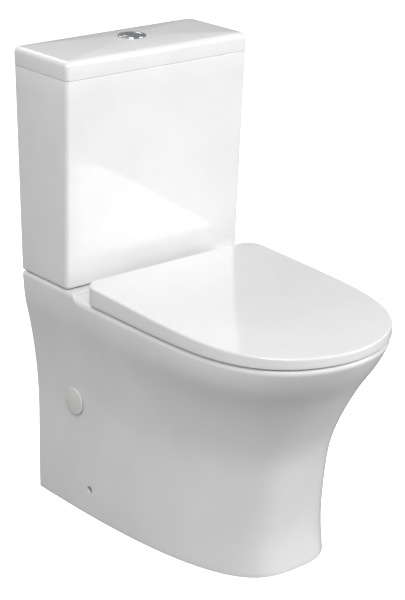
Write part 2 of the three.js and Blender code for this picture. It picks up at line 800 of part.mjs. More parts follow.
function buttonBezel() {
  const inner = sleeveRadius - sleeveWall;
  const underside = bezelFloor - bezelFloorThickness;
  const sleeveEnd = lidTop - sleeveLength;
  const seat = lidTop + touch;
  const ring = turned(
    [[0, underside], [inner, underside], [inner, sleeveEnd], [sleeveRadius, sleeveEnd],
      [sleeveRadius, seat], [bezelRadius, seat], [bezelRadius, bezelTop - bezelBevel],
      [bezelRadius - bezelBevel, bezelTop], [sleeveBore, bezelTop], [sleeveBore, bezelFloor],
      [0, bezelFloor]],
    28,
  );
  const holes = rodPlaces.map(([, , x]) =>
    bar(rodRadius + rodClearance, bezelFloor - overrun, bezelFloor + overrun, 12).translate(x, 0, 0),
  );
  return shaped([ring], holes);
}

// One of the two buttons: a slice of the round button on its own side of the split.
function button(side) {
  const disc = turned(
    [[0, buttonBottom], [buttonRadius, buttonBottom], [buttonRadius, bezelTop - buttonBevel],
      [buttonRadius - buttonBevel, bezelTop], [0, bezelTop + buttonCrown]],
    32,
  );
  const split = -buttonSplit + side * touch;
  const far = -side * 2 * buttonRadius;
  const away = block(Math.min(split, far), Math.max(split, far), -bezelRadius, bezelRadius,
    buttonBottom - overrun, bezelTop + overrun);
  return shaped([disc], [away]);
}

function buttonRod() {
  return bar(rodRadius, headTop - rodEngagement, buttonBottom - touch, 12);
}

// The return spring between the bezel's floor and the button.
function buttonSpring() {
  class Helix extends THREE.Curve {
    getPoint(share, target = new THREE.Vector3()) {
      const turn = share * springTurns * 2 * Math.PI;
      const bottom = bezelFloor + springWire + touch;
      const top = buttonBottom - springWire - touch;
      const height = THREE.MathUtils.lerp(bottom, top, share);
      return target.set(springRadius * Math.cos(turn), springRadius * Math.sin(turn), height);
    }
  }
  const wire = new THREE.Shape();
  for (let i = 0; i < 4; i++) {
    const turn = (i / 4) * 2 * Math.PI;
    const move = i ? wire.lineTo : wire.moveTo;
    move.call(wire, springWire * Math.cos(turn), springWire * Math.sin(turn));
  }
  const steps = springTurns * 9;
  return new THREE.ExtrudeGeometry(wire, { extrudePath: new Helix(), steps, curveSegments: 1 });
}

// ---- Flush valve ----

function valveBase() {
  const flangeTop = tankInside + valveFlangeThickness;
  const lip = valveBore + valveSeatRise;
  return turned(
    [[valveBore, tailEnd], [valveTailRadius, tailEnd], [valveTailRadius, tankInside + touch],
      [valveFlangeRadius, tankInside + touch], [valveFlangeRadius, flangeTop], [lip, flangeTop],
      [lip, seatTop], [valveBore, seatTop], [valveBore, tailEnd]],
    24,
  );
}

function valveBacknut() {
  const top = tankBottom - touch;
  const ring = washer(valveTailRadius + touch, backnutRadius, backnutBottom, top, 24);
  const half = backnutLugWidth / 2;
  const lugs = [0, 1, 2, 3].map((i) =>
    block(backnutRadius - 2, backnutRadius + backnutLug, -half, half, backnutBottom, top)
      .rotateZ((i * Math.PI) / 2),
  );
  return shaped([ring, ...lugs]);
}

// The foam doughnut that seals the tank to the pan's inlet, under and around the back nut.
function couplingGasket() {
  const bore = valveTailRadius + gasketClearance;
  const bottom = recessFloor + touch;
  const outer = couplingRecessRadius - gasketClearance;
  const ledge = backnutBottom - touch;
  const top = tankBottom - touch;
  return turned(
    [[bore, bottom], [outer, bottom], [outer, top], [gasketLedgeRadius, top],
      [gasketLedgeRadius, ledge], [bore, ledge], [bore, bottom]],
    28,
  );
}

function valveTower() {
  const bottom = tankInside + valveFlangeThickness + touch;
  const inner = towerRadius - towerWall;
  const roof = towerTop - pistonFoot;
  const cage = turned([
    [0, roof],
    [towerHeadRadius - towerWall, roof],
    [inner, roof - towerShoulder],
    [inner, bottom],
    [towerRadius, bottom],
    [towerRadius, towerTop - towerShoulder],
    [towerHeadRadius, towerTop],
    [towerHeadRadius, headTop],
    [0, headTop],
  ]);
  const reach = towerRadius + overrun;
  const sills = [bottom + towerWindowWidth / 4, towerTop - towerHeight / 2];
  const windows = sills.map((sill) =>
    block(-reach, reach, -towerWindowWidth / 2, towerWindowWidth / 2, sill, sill + towerWindowHeight),
  );
  const socketBottom = headTop - rodEngagement - 2 * buttonTravel;
  const sockets = rodPlaces.map(([, , x]) =>
    bar(rodRadius + 2 * rodClearance, socketBottom, headTop + overrun, 10)
      .translate(x, fittingsDistance - buttonDistance, 0),
  );
  return shaped([cage], [...windows, windows[0].clone().rotateZ(Math.PI / 2), ...sockets]);
}

// The overflow pipe carries the seal and rises with it.
function flushPiston() {
  const top = towerTop - pistonLift - pistonClearance;
  const bottom = sealTop + touch;
  const bore = overflowRadius - pistonWall;
  const foot = valveBore + pistonFoot;
  return turned(
    [[bore, bottom], [foot, bottom], [foot, bottom + pistonFoot], [overflowRadius, bottom + 2 * pistonFoot],
      [overflowRadius, top], [bore, top], [bore, bottom]],
    20,
  );
}

// ---- Fill valve ----

function fillValve() {
  const end = tankBottom - fillTailDrop;
  const collarTop = tankInside + fillCollarHeight;
  const column = fillColumnRadius;
  const plug = tankInside + 2 * fillCollarHeight;
  const top = fillHeadTop;
  const head = top - fillHeadHeight;
  return turned(
    [[fillBore, end], [fillTailRadius, end], [fillTailRadius, underHead], [fillCollarRadius, underHead],
      [fillCollarRadius, collarTop], [column, collarTop + fillBore], [column, head],
      [fillHeadRadius, head + fillBore], [fillHeadRadius, top - fillHeadTaper],
      [fillHeadRadius - fillHeadTaper, top], [0, top], [0, plug], [fillBore, plug], [fillBore, end]],
    20,
  );
}

function hexNut(bore, radius, bottom, top) {
  const body = new THREE.CylinderGeometry(radius, radius, top - bottom, 6).rotateX(Math.PI / 2);
  const hole = bar(bore, bottom - overrun, top + overrun, 14);
  return shaped([body.translate(0, 0, (bottom + top) / 2)], [hole]);
}

function floatCup() {
  const top = floatBottom + floatHeight;
  const bore = fillColumnRadius + floatClearance;
  const skirt = floatRadius - floatWall;
  return turned(
    [[bore, floatBottom], [bore + floatWall, floatBottom], [bore + floatWall, top - floatCap],
      [skirt, top - floatCap], [skirt, floatBottom], [floatRadius, floatBottom], [floatRadius, top],
      [bore, top], [bore, floatBottom]],
    20,
  );
}

// ---- Tank bolts ----

function tankBolt() {
  const end = deckUnderside - boltEnd;
  const top = underHead + boltHeadHeight;
  return turned(
    [[0, end], [boltRadius, end], [boltRadius, underHead], [boltHeadRadius, underHead],
      [boltHeadRadius, underHead + boltHeadBevel], [boltHeadRadius - boltHeadBevel, top], [0, top]],
    14,
  );
}

function wingNut() {
  const top = deckUnderside - touch;
  const reach = wingLength / 2;
  const half = wingWidth / 2;
  const wingTop = top - wingDrop;
  const wings = block(-half, half, -reach, reach, wingTop - wingHeight, wingTop);
  const bore = bar(boltRadius + touch, top - 2 * wingNutHeight, top + overrun, 14);
  return shaped([bar(wingNutRadius, top - wingNutHeight, top, 14), wings], [bore]);
}

// ---- Seat ----

const coverSlope = coverFall / (depth - coverRear);
const coverTop = (distance) => coverRearHeight - coverSlope * (distance - coverRear);
const ringTop = (distance) => coverTop(distance) - coverWall - ringHeadroom;
const axle = (geometry) => geometry.translate(0, fromWall(hingeDistance), hingeHeight);

// The two x values of a span that starts at `from` on one side and runs for `length`.
function spanOf(side, from, length) {
  return [side * from, side * (from + length)].sort((a, b) => a - b);
}

function coverOutline(inset) {
  const corner = Math.max(coverCorner - inset, coverWall);
  return halfOutline(coverHalfWidth - inset, coverRear + inset, depth - inset, coverShape, corner);
}

function seatCover() {
  const outside = [
    ringOf(coverOutline(coverFootBevel), coverBottom),
    ringOf(coverOutline(0), coverBottom + coverFootBevel),
  ];
  for (let i = 0; i <= 2; i++) {
    const turn = (i / 2) * (Math.PI / 2);
    const inset = coverEdgeRadius * (1 - Math.cos(turn));
    const drop = coverEdgeRadius * (1 - Math.sin(turn));
    outside.push(ringOf(coverOutline(inset), (distance) => coverTop(distance) - drop));
  }
  const room = [
    ringOf(coverOutline(coverWall), coverBottom - overrun),
    ringOf(coverOutline(coverWall), (distance) => coverTop(distance) - coverWall),
  ];
  const opening = block(-rearOpening, rearOpening, fromWall(coverRear + coverWall + 1),
    fromWall(coverRear - overrun), coverBottom - overrun, coverTop(coverRear + coverWall) - coverWall);
  let made = solid(loft(outside)).subtract(solid(loft(room))).subtract(solid(opening));
  for (const [, side] of sides) {
    const [x0, x1] = spanOf(side, earOuter, earLength);
    const ear = axle(crossBar(earRadius, x0, x1));
    const web = block(x0, x1, fromWall(hingeDistance + earWebHalf), fromWall(hingeDistance - earWebHalf),
      hingeHeight, coverTop(hingeDistance) - coverWall + 1);
    const bore = axle(crossBar(hingePinRadius + pinClearance, x0 - overrun, x1 + overrun));
    made = made.add(solid(ear)).add(solid(web)).subtract(solid(bore));
  }
  return geometryOf(made);
}

function seatRing() {
  const edge = coverWall + ringClearance;
  const outline = (inset) =>
    halfOutline(coverHalfWidth - edge - inset, ringRear + inset, depth - edge - inset, ringShape,
      ringCorner);
  const hole = (inset) =>
    halfOutline(ringHoleHalfWidth + inset, ringHoleRear - inset, depth - edge - ringNoseBand + inset,
      holeShape, ringHoleCorner);
  const body = loft([
    ringOf(outline(1), ringBottom),
    ringOf(outline(0), ringBottom + 1),
    ringOf(outline(0), (distance) => ringTop(distance) - ringRounding),
    ringOf(outline(ringRounding), ringTop),
  ]);
  const through = loft([
    ringOf(hole(0), ringBottom - overrun),
    ringOf(hole(0), (distance) => ringTop(distance) - 2 * ringRounding),
    ringOf(hole(ringRounding), (distance) => ringTop(distance) - ringRounding / 3),
    ringOf(hole(ringRounding * 2), (distance) => ringTop(distance) + overrun),
  ]);
  let made = solid(body).subtract(solid(through));
  for (const [, side] of sides) {
    const [x0, x1] = spanOf(side, earInner, -earLength);
    const ear = axle(crossBar(earRadius, x0, x1));
    const arm = block(x0, x1, fromWall(ringRear + earWebHalf), fromWall(hingeDistance),
      hingeHeight - earArmDrop, hingeHeight + 1);
    const bore = axle(crossBar(hingePinRadius + pinClearance, x0 - overrun, x1 + overrun));
    made = made.add(solid(ear)).add(solid(arm)).subtract(solid(bore));
  }
  return geometryOf(made);
}

// The hinge post stands on the deck over its stud and holds the pin in its knuckle.
function hingePost() {
  const bottom = rimHeight + touch;
  const bore = studRadius + touch;
  const socketTop = rimHeight + studTop + studSpace;
  const foot = turned(
    [[0, socketTop], [bore, socketTop], [bore, bottom], [postFootRadius, bottom],
      [postFootRadius, rimHeight + postFootHeight], [postRadius, rimHeight + postFootHeight + 2],
      [postRadius, hingeHeight], [0, hingeHeight]],
    20,
  );
  const half = knuckleLength / 2;
  const knuckle = crossBar(knuckleRadius, -half, half).translate(0, 0, hingeHeight);
  const pinHole = crossBar(hingePinRadius + touch, -half - overrun, half + overrun);
  return shaped([foot, knuckle], [pinHole.translate(0, 0, hingeHeight)]);
}

function hingeStud() {
  const end = deckUnderside - studEnd;
  const top = rimHeight + studTop;
  return turned([[0, end], [studRadius, end], [studRadius, top], [0, top]], 14);
}

// ---- Assembly ----

const toilet = new THREE.Group();
toilet.name = "close_coupled_toilet";

const finishes = {
  china: { color: "#f4f4f2", roughness: 0.08, metalness: 0 },
  seatPlastic: { color: "#f6f6f5", roughness: 0.15, metalness: 0 },
  whitePlastic: { color: "#e9e9e6", roughness: 0.4, metalness: 0 },
  greyPlastic: { color: "#8f9498", roughness: 0.5, metalness: 0 },
  bluePlastic: { color: "#4f7fb0", roughness: 0.45, metalness: 0 },
  chrome: { color: "#d8dadc", roughness: 0.06, metalness: 1 },
  steel: { color: "#b9bcbe", roughness: 0.3, metalness: 1 },
  brass: { color: "#c9a75a", roughness: 0.35, metalness: 1 },
  rubber: { color: "#2a2a2b", roughness: 0.75, metalness: 0 },
  softClear: { color: "#dcdcd8", roughness: 0.55, metalness: 0 },
};

function place(name, geometry, finish, x = 0, y = 0, z = 0, parent = toilet) {
  const mesh = new THREE.Mesh(geometry, new THREE.MeshStandardMaterial(finishes[finish]));
  mesh.name = name;
  mesh.position.set(x, y, z);
  parent.add(mesh);
  return mesh;
}

place("pan", pan(), "china");
place("pan_bowl", panBowl(), "china");
place("pan_trap", panTrap(), "china");
place("pan_duct", panDuct(), "china");
const capX = Math.max(
  skirtHalfWidth(capHeight - capRadius, capDistance),
  skirtHalfWidth(capHeight + capRadius, capDistance),
);
const capLean = Math.atan2(
  skirtHalfWidth(capHeight, capDistance - capRadius) - skirtHalfWidth(capHeight, capDistance + capRadius),
  2 * capRadius,
);
const screwX = skirtHalfWidth(fixingHeight, fixingDistance) - screwHeadSink;
const bracketX =
  skirtHalfWidth(0, fixingDistance + bracketLength / 2) - panWall - bracketPlate - bracketGap;
for (const [word, side] of sides) {
  const turn = side > 0 ? 0 : Math.PI;
  const cap = place(`side_cap_${word}`, sideCap(), "whitePlastic", side * (capX + touch));
  cap.position.y = fromWall(capDistance);
  cap.position.z = capHeight;
  cap.rotation.z = turn - side * capLean;
  const bracket = place(`floor_bracket_${word}`, floorBracket(), "steel", side * bracketX);
  bracket.position.y = fromWall(fixingDistance);
  bracket.rotation.z = turn;
  const screw = place(`fixing_screw_${word}`, fixingScrew(), "steel", side * screwX);
  screw.position.y = fromWall(fixingDistance);
  screw.position.z = fixingHeight;
  screw.rotation.z = turn;
}

const fittingsRow = new THREE.Group();
fittingsRow.position.y = fromWall(fittingsDistance);
toilet.add(fittingsRow);

place("tank", tank(), "china");
place("coupling_gasket", couplingGasket(), "rubber", 0, 0, 0, fittingsRow);
place("flush_valve_base", valveBase(), "greyPlastic", 0, 0, 0, fittingsRow);
place("flush_valve_backnut", valveBacknut(), "greyPlastic", 0, 0, 0, fittingsRow);
place("flush_valve_tower", valveTower(), "whitePlastic", 0, 0, 0, fittingsRow);
place("flush_piston", flushPiston(), "bluePlastic", 0, 0, 0, fittingsRow);
const seal = washer(overflowRadius, valveBore + pistonFoot, seatTop + touch, sealTop, 24);
place("flush_seal", seal, "rubber", 0, 0, 0, fittingsRow);
const padBottom = tankInside + touch;
const padTop = padBottom + washerThickness;
const nutUnderTank = tankBottom - touch;
const fillPad = washer(fillTailRadius + touch, fillCollarRadius, padBottom, padTop, 16);
const fillNut = hexNut(fillTailRadius + touch, fillNutRadius, nutUnderTank - fillNutHeight, nutUnderTank);
place("fill_valve", fillValve(), "whitePlastic", fillOffset, 0, 0, fittingsRow);
place("fill_valve_washer", fillPad, "rubber", fillOffset, 0, 0, fittingsRow);
place("fill_valve_backnut", fillNut, "whitePlastic", fillOffset, 0, 0, fittingsRow);
place("fill_valve_float", floatCup(), "bluePlastic", fillOffset, 0, 0, fittingsRow);
for (const [word, side] of sides) {
  const x = (side * boltSpread) / 2;
  const pad = washer(boltRadius + touch, boltWasherRadius, padBottom, padTop, 16);
  place(`tank_bolt_${word}`, tankBolt(), "brass", x, 0, 0, fittingsRow);
  place(`tank_bolt_washer_${word}`, pad, "rubber", x, 0, 0, fittingsRow);
  place(`wing_nut_${word}`, wingNut(), "brass", x, 0, 0, fittingsRow);
}

place("tank_lid", tankLid(), "china");
const buttonRow = new THREE.Group();
buttonRow.position.y = fromWall(buttonDistance);
toilet.add(buttonRow);
place("button_bezel", buttonBezel(), "chrome", 0, 0, 0, buttonRow);
const nutTop = lidEdgeTop - lidWall - touch;
const bezelNut = washer(sleeveRadius + touch, bezelNutRadius, nutTop - bezelNutHeight, nutTop, 24);
place("bezel_nut", bezelNut, "whitePlastic", 0, 0, 0, buttonRow);
for (const [word, side, x] of rodPlaces) {
  place(`${word}_flush_button`, button(side), "chrome", 0, 0, 0, buttonRow);
  place(`${word}_flush_rod`, buttonRod(), "whitePlastic", x, 0, 0, buttonRow);
  place(`${word}_flush_spring`, buttonSpring(), "steel", x, 0, 0, buttonRow);
}

place("seat_ring", seatRing(), "seatPlastic");
place("seat_cover", seatCover(), "seatPlastic");
const ringBuffers = [
  ["front", frontBufferOffset, depth - frontBufferSetback],
  ["rear", coverHalfWidth - rearBufferInset, ringRear + rearBufferSetback],
];
for (const [end, x, distance] of ringBuffers)
  for (const [word, side] of sides) {
    const buffer = bar(ringBufferRadius, rimHeight + touch, ringBottom - touch, 16);
    place(`ring_buffer_${end}_${word}`, buffer, "softClear", side * x, fromWall(distance));
  }
const hingeY = fromWall(hingeDistance);
for (const [word, side] of sides) {
  const low = ringTop(coverBufferDistance - coverBufferRadius) + touch;
  const high = coverTop(coverBufferDistance + coverBufferRadius) - coverWall - touch;
  const coverBuffer = bar(coverBufferRadius, low, high, 16);
  place(`cover_buffer_${word}`, coverBuffer, "softClear", side * coverBufferOffset,
    fromWall(coverBufferDistance));
  const x = (side * hingeSpread) / 2;
  const reach = knuckleLength / 2 + earLength;
  const padFoot = deckUnderside - hingeWasherHeight;
  const pad = washer(studRadius + touch, hingeWasherRadius, padFoot, deckUnderside - touch, 16);
  const nut = hexNut(studRadius + touch, hingeNutRadius, padFoot - hingeNutHeight, padFoot - touch);
  place(`hinge_post_${word}`, hingePost(), "chrome", x, hingeY);
  place(`hinge_pin_${word}`, crossBar(hingePinRadius, -reach, reach, 16), "steel", x, hingeY, hingeHeight);
  place(`hinge_stud_${word}`, hingeStud(), "steel", x, hingeY);
  place(`hinge_washer_${word}`, pad, "rubber", x, hingeY);
  place(`hinge_nut_${word}`, nut, "whitePlastic", x, hingeY);
}

export default toilet;
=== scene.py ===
"""A close coupled toilet: a flared china pan with a china tank behind it, and a wrap-over seat cover.

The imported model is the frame. The pieces that show get a finer mesh here, and every piece gets a finish.
Metres, +Z up, +Y to the wall. Distances along the toilet are measured from the wall.
"""

import json
import math

import bmesh
import bpy
import numpy as np
from mathutils import Matrix, Vector


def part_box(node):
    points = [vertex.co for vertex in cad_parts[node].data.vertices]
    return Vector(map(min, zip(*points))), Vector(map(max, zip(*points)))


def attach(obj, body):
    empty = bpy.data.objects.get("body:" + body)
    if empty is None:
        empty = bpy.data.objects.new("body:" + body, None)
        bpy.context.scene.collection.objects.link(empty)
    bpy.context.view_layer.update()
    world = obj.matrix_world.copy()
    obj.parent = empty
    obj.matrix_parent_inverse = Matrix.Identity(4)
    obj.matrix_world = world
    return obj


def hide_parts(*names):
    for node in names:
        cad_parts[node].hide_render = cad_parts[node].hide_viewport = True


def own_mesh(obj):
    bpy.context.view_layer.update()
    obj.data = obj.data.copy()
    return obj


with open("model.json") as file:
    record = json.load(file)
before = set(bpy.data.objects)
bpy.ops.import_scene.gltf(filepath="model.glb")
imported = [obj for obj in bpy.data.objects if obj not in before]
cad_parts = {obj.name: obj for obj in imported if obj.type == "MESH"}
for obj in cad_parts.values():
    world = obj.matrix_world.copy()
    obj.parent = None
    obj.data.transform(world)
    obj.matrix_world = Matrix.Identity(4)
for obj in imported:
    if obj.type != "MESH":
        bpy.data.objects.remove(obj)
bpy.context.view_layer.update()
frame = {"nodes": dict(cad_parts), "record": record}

# ---- Sizes ----

MM = 0.001
pan_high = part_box("pan")[1]
tank_low, tank_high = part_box("tank")
lid_low, lid_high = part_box("tank_lid")
cover_low, cover_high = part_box("seat_cover")
ring_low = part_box("seat_ring")[0]
bezel_low, bezel_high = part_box("button_bezel")

WALL = pan_high.y
DEPTH = WALL - cover_low.y
PLATFORM_RISE = 7.5 * MM
RIM = pan_high.z - PLATFORM_RISE
SIDES = {"left": -1, "right": 1}

RIM_HALF_WIDTH = 183 * MM
RIM_LENGTH = 644 * MM
RIM_EDGE_RADIUS = 11 * MM
FOOT_HALF_WIDTH = 158.5 * MM
FOOT_LENGTH = 519 * MM
FOOT_EDGE_RADIUS = 2 * MM
PAN_WALL = 13 * MM
PAN_CORNER = 3 * MM
DECK = 14 * MM
PLATFORM_LENGTH = 152 * MM
PLATFORM_SWEEP = 26 * MM
PLATFORM_EDGE = 6 * MM
PLATFORM_SIDE_RADIUS = 7 * MM

BOWL_HALF_WIDTH = 132 * MM
BOWL_REAR = 262 * MM
BOWL_NOSE = RIM_LENGTH - 46 * MM
BOWL_DEPTH = 295 * MM
BOWL_WALL = 11 * MM
BOWL_LIP = 12 * MM
TRAP_RADIUS = 29 * MM
TRAP_WALL = 9 * MM
OUTLET_RADIUS = 51 * MM
OUTLET_HEIGHT = 180 * MM
OUTLET_SETBACK = 70 * MM
SPIGOT_LENGTH = 38 * MM
DUCT_RADIUS = 26 * MM
DUCT_WALL = 9 * MM

TOUCH = 0.3 * MM
CAP_RADIUS = 24 * MM
CAP_DISTANCE = 116 * MM
CAP_HEIGHT = 206 * MM
FITTINGS = 72 * MM
COUPLING_RECESS_RADIUS = 58 * MM
COUPLING_RECESS = 24 * MM
BOLT_SPREAD = 160 * MM
BOLT_HOLE_RADIUS = 6 * MM
FILL_OFFSET = 142 * MM
FILL_RECESS_RADIUS = 24 * MM
CAP_HOLE_RADIUS = 21.5 * MM
SCREW_HOLE_RADIUS = 7 * MM
SCREW_DISTANCE = 153 * MM
SCREW_HEIGHT = 50 * MM
SKIRT_HOLES_FROM = 90 * MM
SKIRT_HOLES_TO = 200 * MM
DECK_HOLES_LOW = RIM - 40 * MM
DECK_HOLES_HIGH = RIM + 20 * MM
STUD_HOLE_RADIUS = 7 * MM

TANK_CORNER = 7 * MM
TANK_FOOT_RADIUS = 6 * MM
TANK_FOOT_LENGTH = 136.2 * MM
TANK_FOOT_HALF_WIDTH = 183 * MM
TANK_WALL = 10 * MM
TANK_FLOOR = 12 * MM
TANK_LIP = 1.2 * MM
TANK_FILLET = 5 * MM
VALVE_HOLE_RADIUS = 32 * MM
FILL_HOLE_RADIUS = 12 * MM

LID_SIDE = 32 * MM
LID_EDGE_RADIUS = 9 * MM
LID_WALL = 11 * MM
LID_LIP_DROP = 8 * MM
LID_LIP_GAP = 3 * MM
LID_LIP_WALL = 6 * MM
LID_FOOT_RADIUS = 1.2 * MM
BUTTON_HOLE_RADIUS = 20 * MM
CUT_PAST = 10 * MM  # how far a cutting body runs past a face
BUTTON_RADIUS = 16 * MM
BUTTON_DISH = 2.6 * MM
ROD_SPREAD = 18 * MM
ROD_HOLE_RADIUS = 3.1 * MM
SPRING_RADIUS = 4 * MM
SPRING_WIRE = 0.8 * MM
SPRING_TURNS = 4

COVER_WALL = 4.5 * MM
COVER_CORNER = 30 * MM
COVER_EDGE_RADIUS = 3.5 * MM
COVER_REAR_HEIGHT = 445.5 * MM
COVER_NOSE_HEIGHT = 429.1 * MM
COVER_REAR = WALL - cover_high.y
RING_REAR = 213 * MM
HINGE = 189 * MM
HINGE_HEIGHT = 433 * MM
HINGE_SPREAD = 155 * MM
EYE_RADIUS = 7 * MM
EYE_BORE_RADIUS = 3.3 * MM
EYE_OFFSET = 13.5 * MM
EYE_LENGTH = 16 * MM
RING_SETBACK = 6 * MM
RING_HOLE_HALF_WIDTH = 118 * MM
RING_HOLE_REAR = 286 * MM
RING_HOLE_MARGIN = 58 * MM
RING_HOLE_CORNER = 60 * MM


def from_wall(distance):
    """The y of a distance from the wall."""
    return WALL - distance


# ---- Camera ----


def photographer():
    """Stands in front, to the left of the toilet, and looks a little down on it."""
    azimuth, elevation, roll = math.radians(-38.65), math.radians(20.51), math.radians(0.245)
    target, reach = Vector((-0.04205, 0.0004, 0.4255)), 3.0319
    back = Vector((
        math.sin(azimuth) * math.cos(elevation),
        -math.cos(azimuth) * math.cos(elevation),
        math.sin(elevation),
    ))
    data = bpy.data.cameras.new("camera")
    data.lens = 111.42
    data.sensor_width = 36
    camera = bpy.data.objects.new("camera", data)
    turn = back.to_track_quat("Z", "Y").to_matrix().to_4x4()
    camera.matrix_world = Matrix.Translation(target + reach * back) @ turn @ Matrix.Rotation(roll, 4, "Z")
    bpy.context.scene.collection.objects.link(camera)
    bpy.context.scene.camera = camera


photographer()

# ---- Building by bmesh ----


def place_loop(bm, points):
    """A closed loop of edges through points, each vertex knowing its number along the loop."""
    order = bm.verts.layers.int.get("order") or bm.verts.layers.int.new("order")
    verts = []
    for number, point in enumerate(points):
        vert = bm.verts.new(point)
        vert[order] = number
        verts.append(vert)
    return [bm.edges.new(pair) for pair in zip(verts, verts[1:] + verts[:1])]


def extrude_to(bm, edges, points):
    """Extrudes a loop of edges and lays the new loop through points."""
    order = bm.verts.layers.int["order"]
    made = bmesh.ops.extrude_edge_only(bm, edges=edges)["geom"]
    fresh = {item for item in made if isinstance(item, bmesh.types.BMVert)}
    for vert in fresh:
        vert.co = points[vert[order]]
    return [
        item for item in made
        if isinstance(item, bmesh.types.BMEdge) and set(item.verts) <= fresh
    ]


def ladder(bm, edges, count):
    """Closes a loop with rungs from each point to the one across from it, so that rungs run level."""
    order = bm.verts.layers.int["order"]
    nose = (count - 1) // 2
    across = {nose - 1, nose, nose + 1}
    rails = [
        edge for edge in edges
        if nose not in {v[order] for v in edge.verts}
        and abs(edge.verts[0][order] - edge.verts[1][order]) == 1
    ]
    bmesh.ops.bridge_loops(bm, edges=rails)
    corner = {v for edge in edges for v in edge.verts if v[order] in across}
    bmesh.ops.contextual_create(bm, geom=list(corner))


def skin(loops, start="cap", end="cap"):
    """A body of quads through loops of points. Its ends are flat caps, ladders, or meet each other."""
    bm = bmesh.new()
    count = len(loops[0])
    first = edges = place_loop(bm, loops[0])
    for loop in loops[1:]:
        edges = extrude_to(bm, edges, loop)
    if start == "meet":
        bmesh.ops.bridge_loops(bm, edges=first + edges)
        return bm
    for rim, way in ((first, start), (edges, end)):
        if way == "cap":
            bmesh.ops.edgeloop_fill(bm, edges=rim)
        else:
            ladder(bm, rim, count)
    return bm


def piece(name, bm, sharp=32):
    """Turns a bmesh into an object, with smooth faces and edges left sharp past an angle in degrees."""
    bmesh.ops.recalc_face_normals(bm, faces=bm.faces)
    layer = bm.verts.layers.int.get("order")
    if layer:
        bm.verts.layers.int.remove(layer)
    mesh = bpy.data.meshes.new(name)
    bm.to_mesh(mesh)
    bm.free()
    made = bpy.data.objects.new(name, mesh)
    bpy.context.scene.collection.objects.link(made)
    soften(made, sharp)
    return made


def soften(made, sharp=32):
    made.data.shade_smooth()
    made.data.set_sharp_from_angle(angle=math.radians(sharp))


def combine(made, others, operation, sharp=32):
    """Joins other bodies to a piece, or cuts them out of it, and puts them away."""
    for other in others:
        boolean = made.modifiers.new("boolean", "BOOLEAN")
        boolean.operation = operation
        boolean.solver = "MANIFOLD"
        boolean.material_mode = "TRANSFER"
        boolean.object = other
    graph = bpy.context.evaluated_depsgraph_get()
    mesh = bpy.data.meshes.new_from_object(made.evaluated_get(graph))
    made.modifiers.clear()
    made.data = mesh
    for other in others:
        bpy.data.objects.remove(other)
    soften(made, sharp)
    return made


def turned(name, profile, spot=(0, 0, 0), axis="Z", segments=64, sharp=32):
    """A body turned about an axis. Its profile of (radius, height) pairs closes on itself or on the axis."""
    bm = bmesh.new()
    verts = [bm.verts.new((radius, 0, height)) for radius, height in profile]
    edges = [bm.edges.new(pair) for pair in zip(verts, verts[1:])]
    if profile[0][0] > 0 or profile[-1][0] > 0:
        edges.append(bm.edges.new((verts[-1], verts[0])))
    bmesh.ops.spin(
        bm, geom=verts + edges, cent=(0, 0, 0), axis=(0, 0, 1), angle=2 * math.pi,
        steps=segments, use_merge=True,
    )
    bmesh.ops.remove_doubles(bm, verts=bm.verts, dist=1e-6)
    turn = {"X": Matrix.Rotation(math.pi / 2, 4, "Y"), "Y": Matrix.Rotation(-math.pi / 2, 4, "X")}
    bmesh.ops.transform(bm, matrix=Matrix.Translation(spot) @ turn.get(axis, Matrix()), verts=bm.verts)
    return piece(name, bm, sharp)


def rod(radius, low, high, spot=(0, 0, 0), axis="Z", segments=64):
    """A plain round body, used to join or cut."""
    return turned("rod", [(0, low), (radius, low), (radius, high), (0, high)], spot, axis, segments)


def block(low, high):
    """A plain box between two corners, used to join or cut."""
    bm = bmesh.new()
    bmesh.ops.create_cube(bm, size=1)
    low, high = Vector(low), Vector(high)
    bmesh.ops.scale(bm, vec=high - low, verts=bm.verts)
    bmesh.ops.translate(bm, vec=(low + high) / 2, verts=bm.verts)
    return piece("block", bm)


def arc(radius, steps, start=0.0, stop=90.0):
    """Points of a round edge: how far it has come in, and how far it has risen, from its low end."""
    turns = [math.radians(start + (stop - start) * i / steps) for i in range(steps + 1)]
    return [(radius * (1 - math.cos(t)), radius * math.sin(t)) for t in turns]


def pipe(route, radius, sides=40):
    """A round bar along a smooth route of (distance from the wall, height) pairs in the middle plane."""
    curve = bpy.data.curves.new("pipe", "CURVE")
    curve.dimensions = "3D"
    curve.bevel_depth = radius
    curve.bevel_resolution = sides // 4 - 1
    curve.use_fill_caps = True
    curve.resolution_u = 10
    spline = curve.splines.new("BEZIER")
    spline.bezier_points.add(len(route) - 1)
    for point, (distance, height) in zip(spline.bezier_points, route):
        point.co = (0, from_wall(distance), height)
        point.handle_left_type = point.handle_right_type = "AUTO"
    drawn = bpy.data.objects.new("pipe", curve)
    bpy.context.scene.collection.objects.link(drawn)
    mesh = bpy.data.meshes.new_from_object(drawn.evaluated_get(bpy.context.evaluated_depsgraph_get()))
    bpy.data.objects.remove(drawn)
    bm = bmesh.new()
    bm.from_mesh(mesh)
    bmesh.ops.remove_doubles(bm, verts=bm.verts, dist=1e-5)
    return piece("pipe", bm)


def coat(made, material):
    """Gives a piece its finish."""
    made.data.materials.clear()
    made.data.materials.append(material)
    return made


def finish(made, body, slot, material, *nodes):
    """Puts a finish on a piece, lets it ride on its body, and hides the nodes it stands for."""
    if not any(made.data.materials):
        coat(made, material)
    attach(made, body)
    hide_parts(*nodes)


# ---- Finishes ----


def colour(code):
    """An sRGB hex colour as linear RGBA."""
    parts = [int(code[i:i + 2], 16) / 255 for i in (1, 3, 5)]
    return [c / 12.92 if c <= 0.04045 else ((c + 0.055) / 1.055) ** 2.4 for c in parts] + [1]


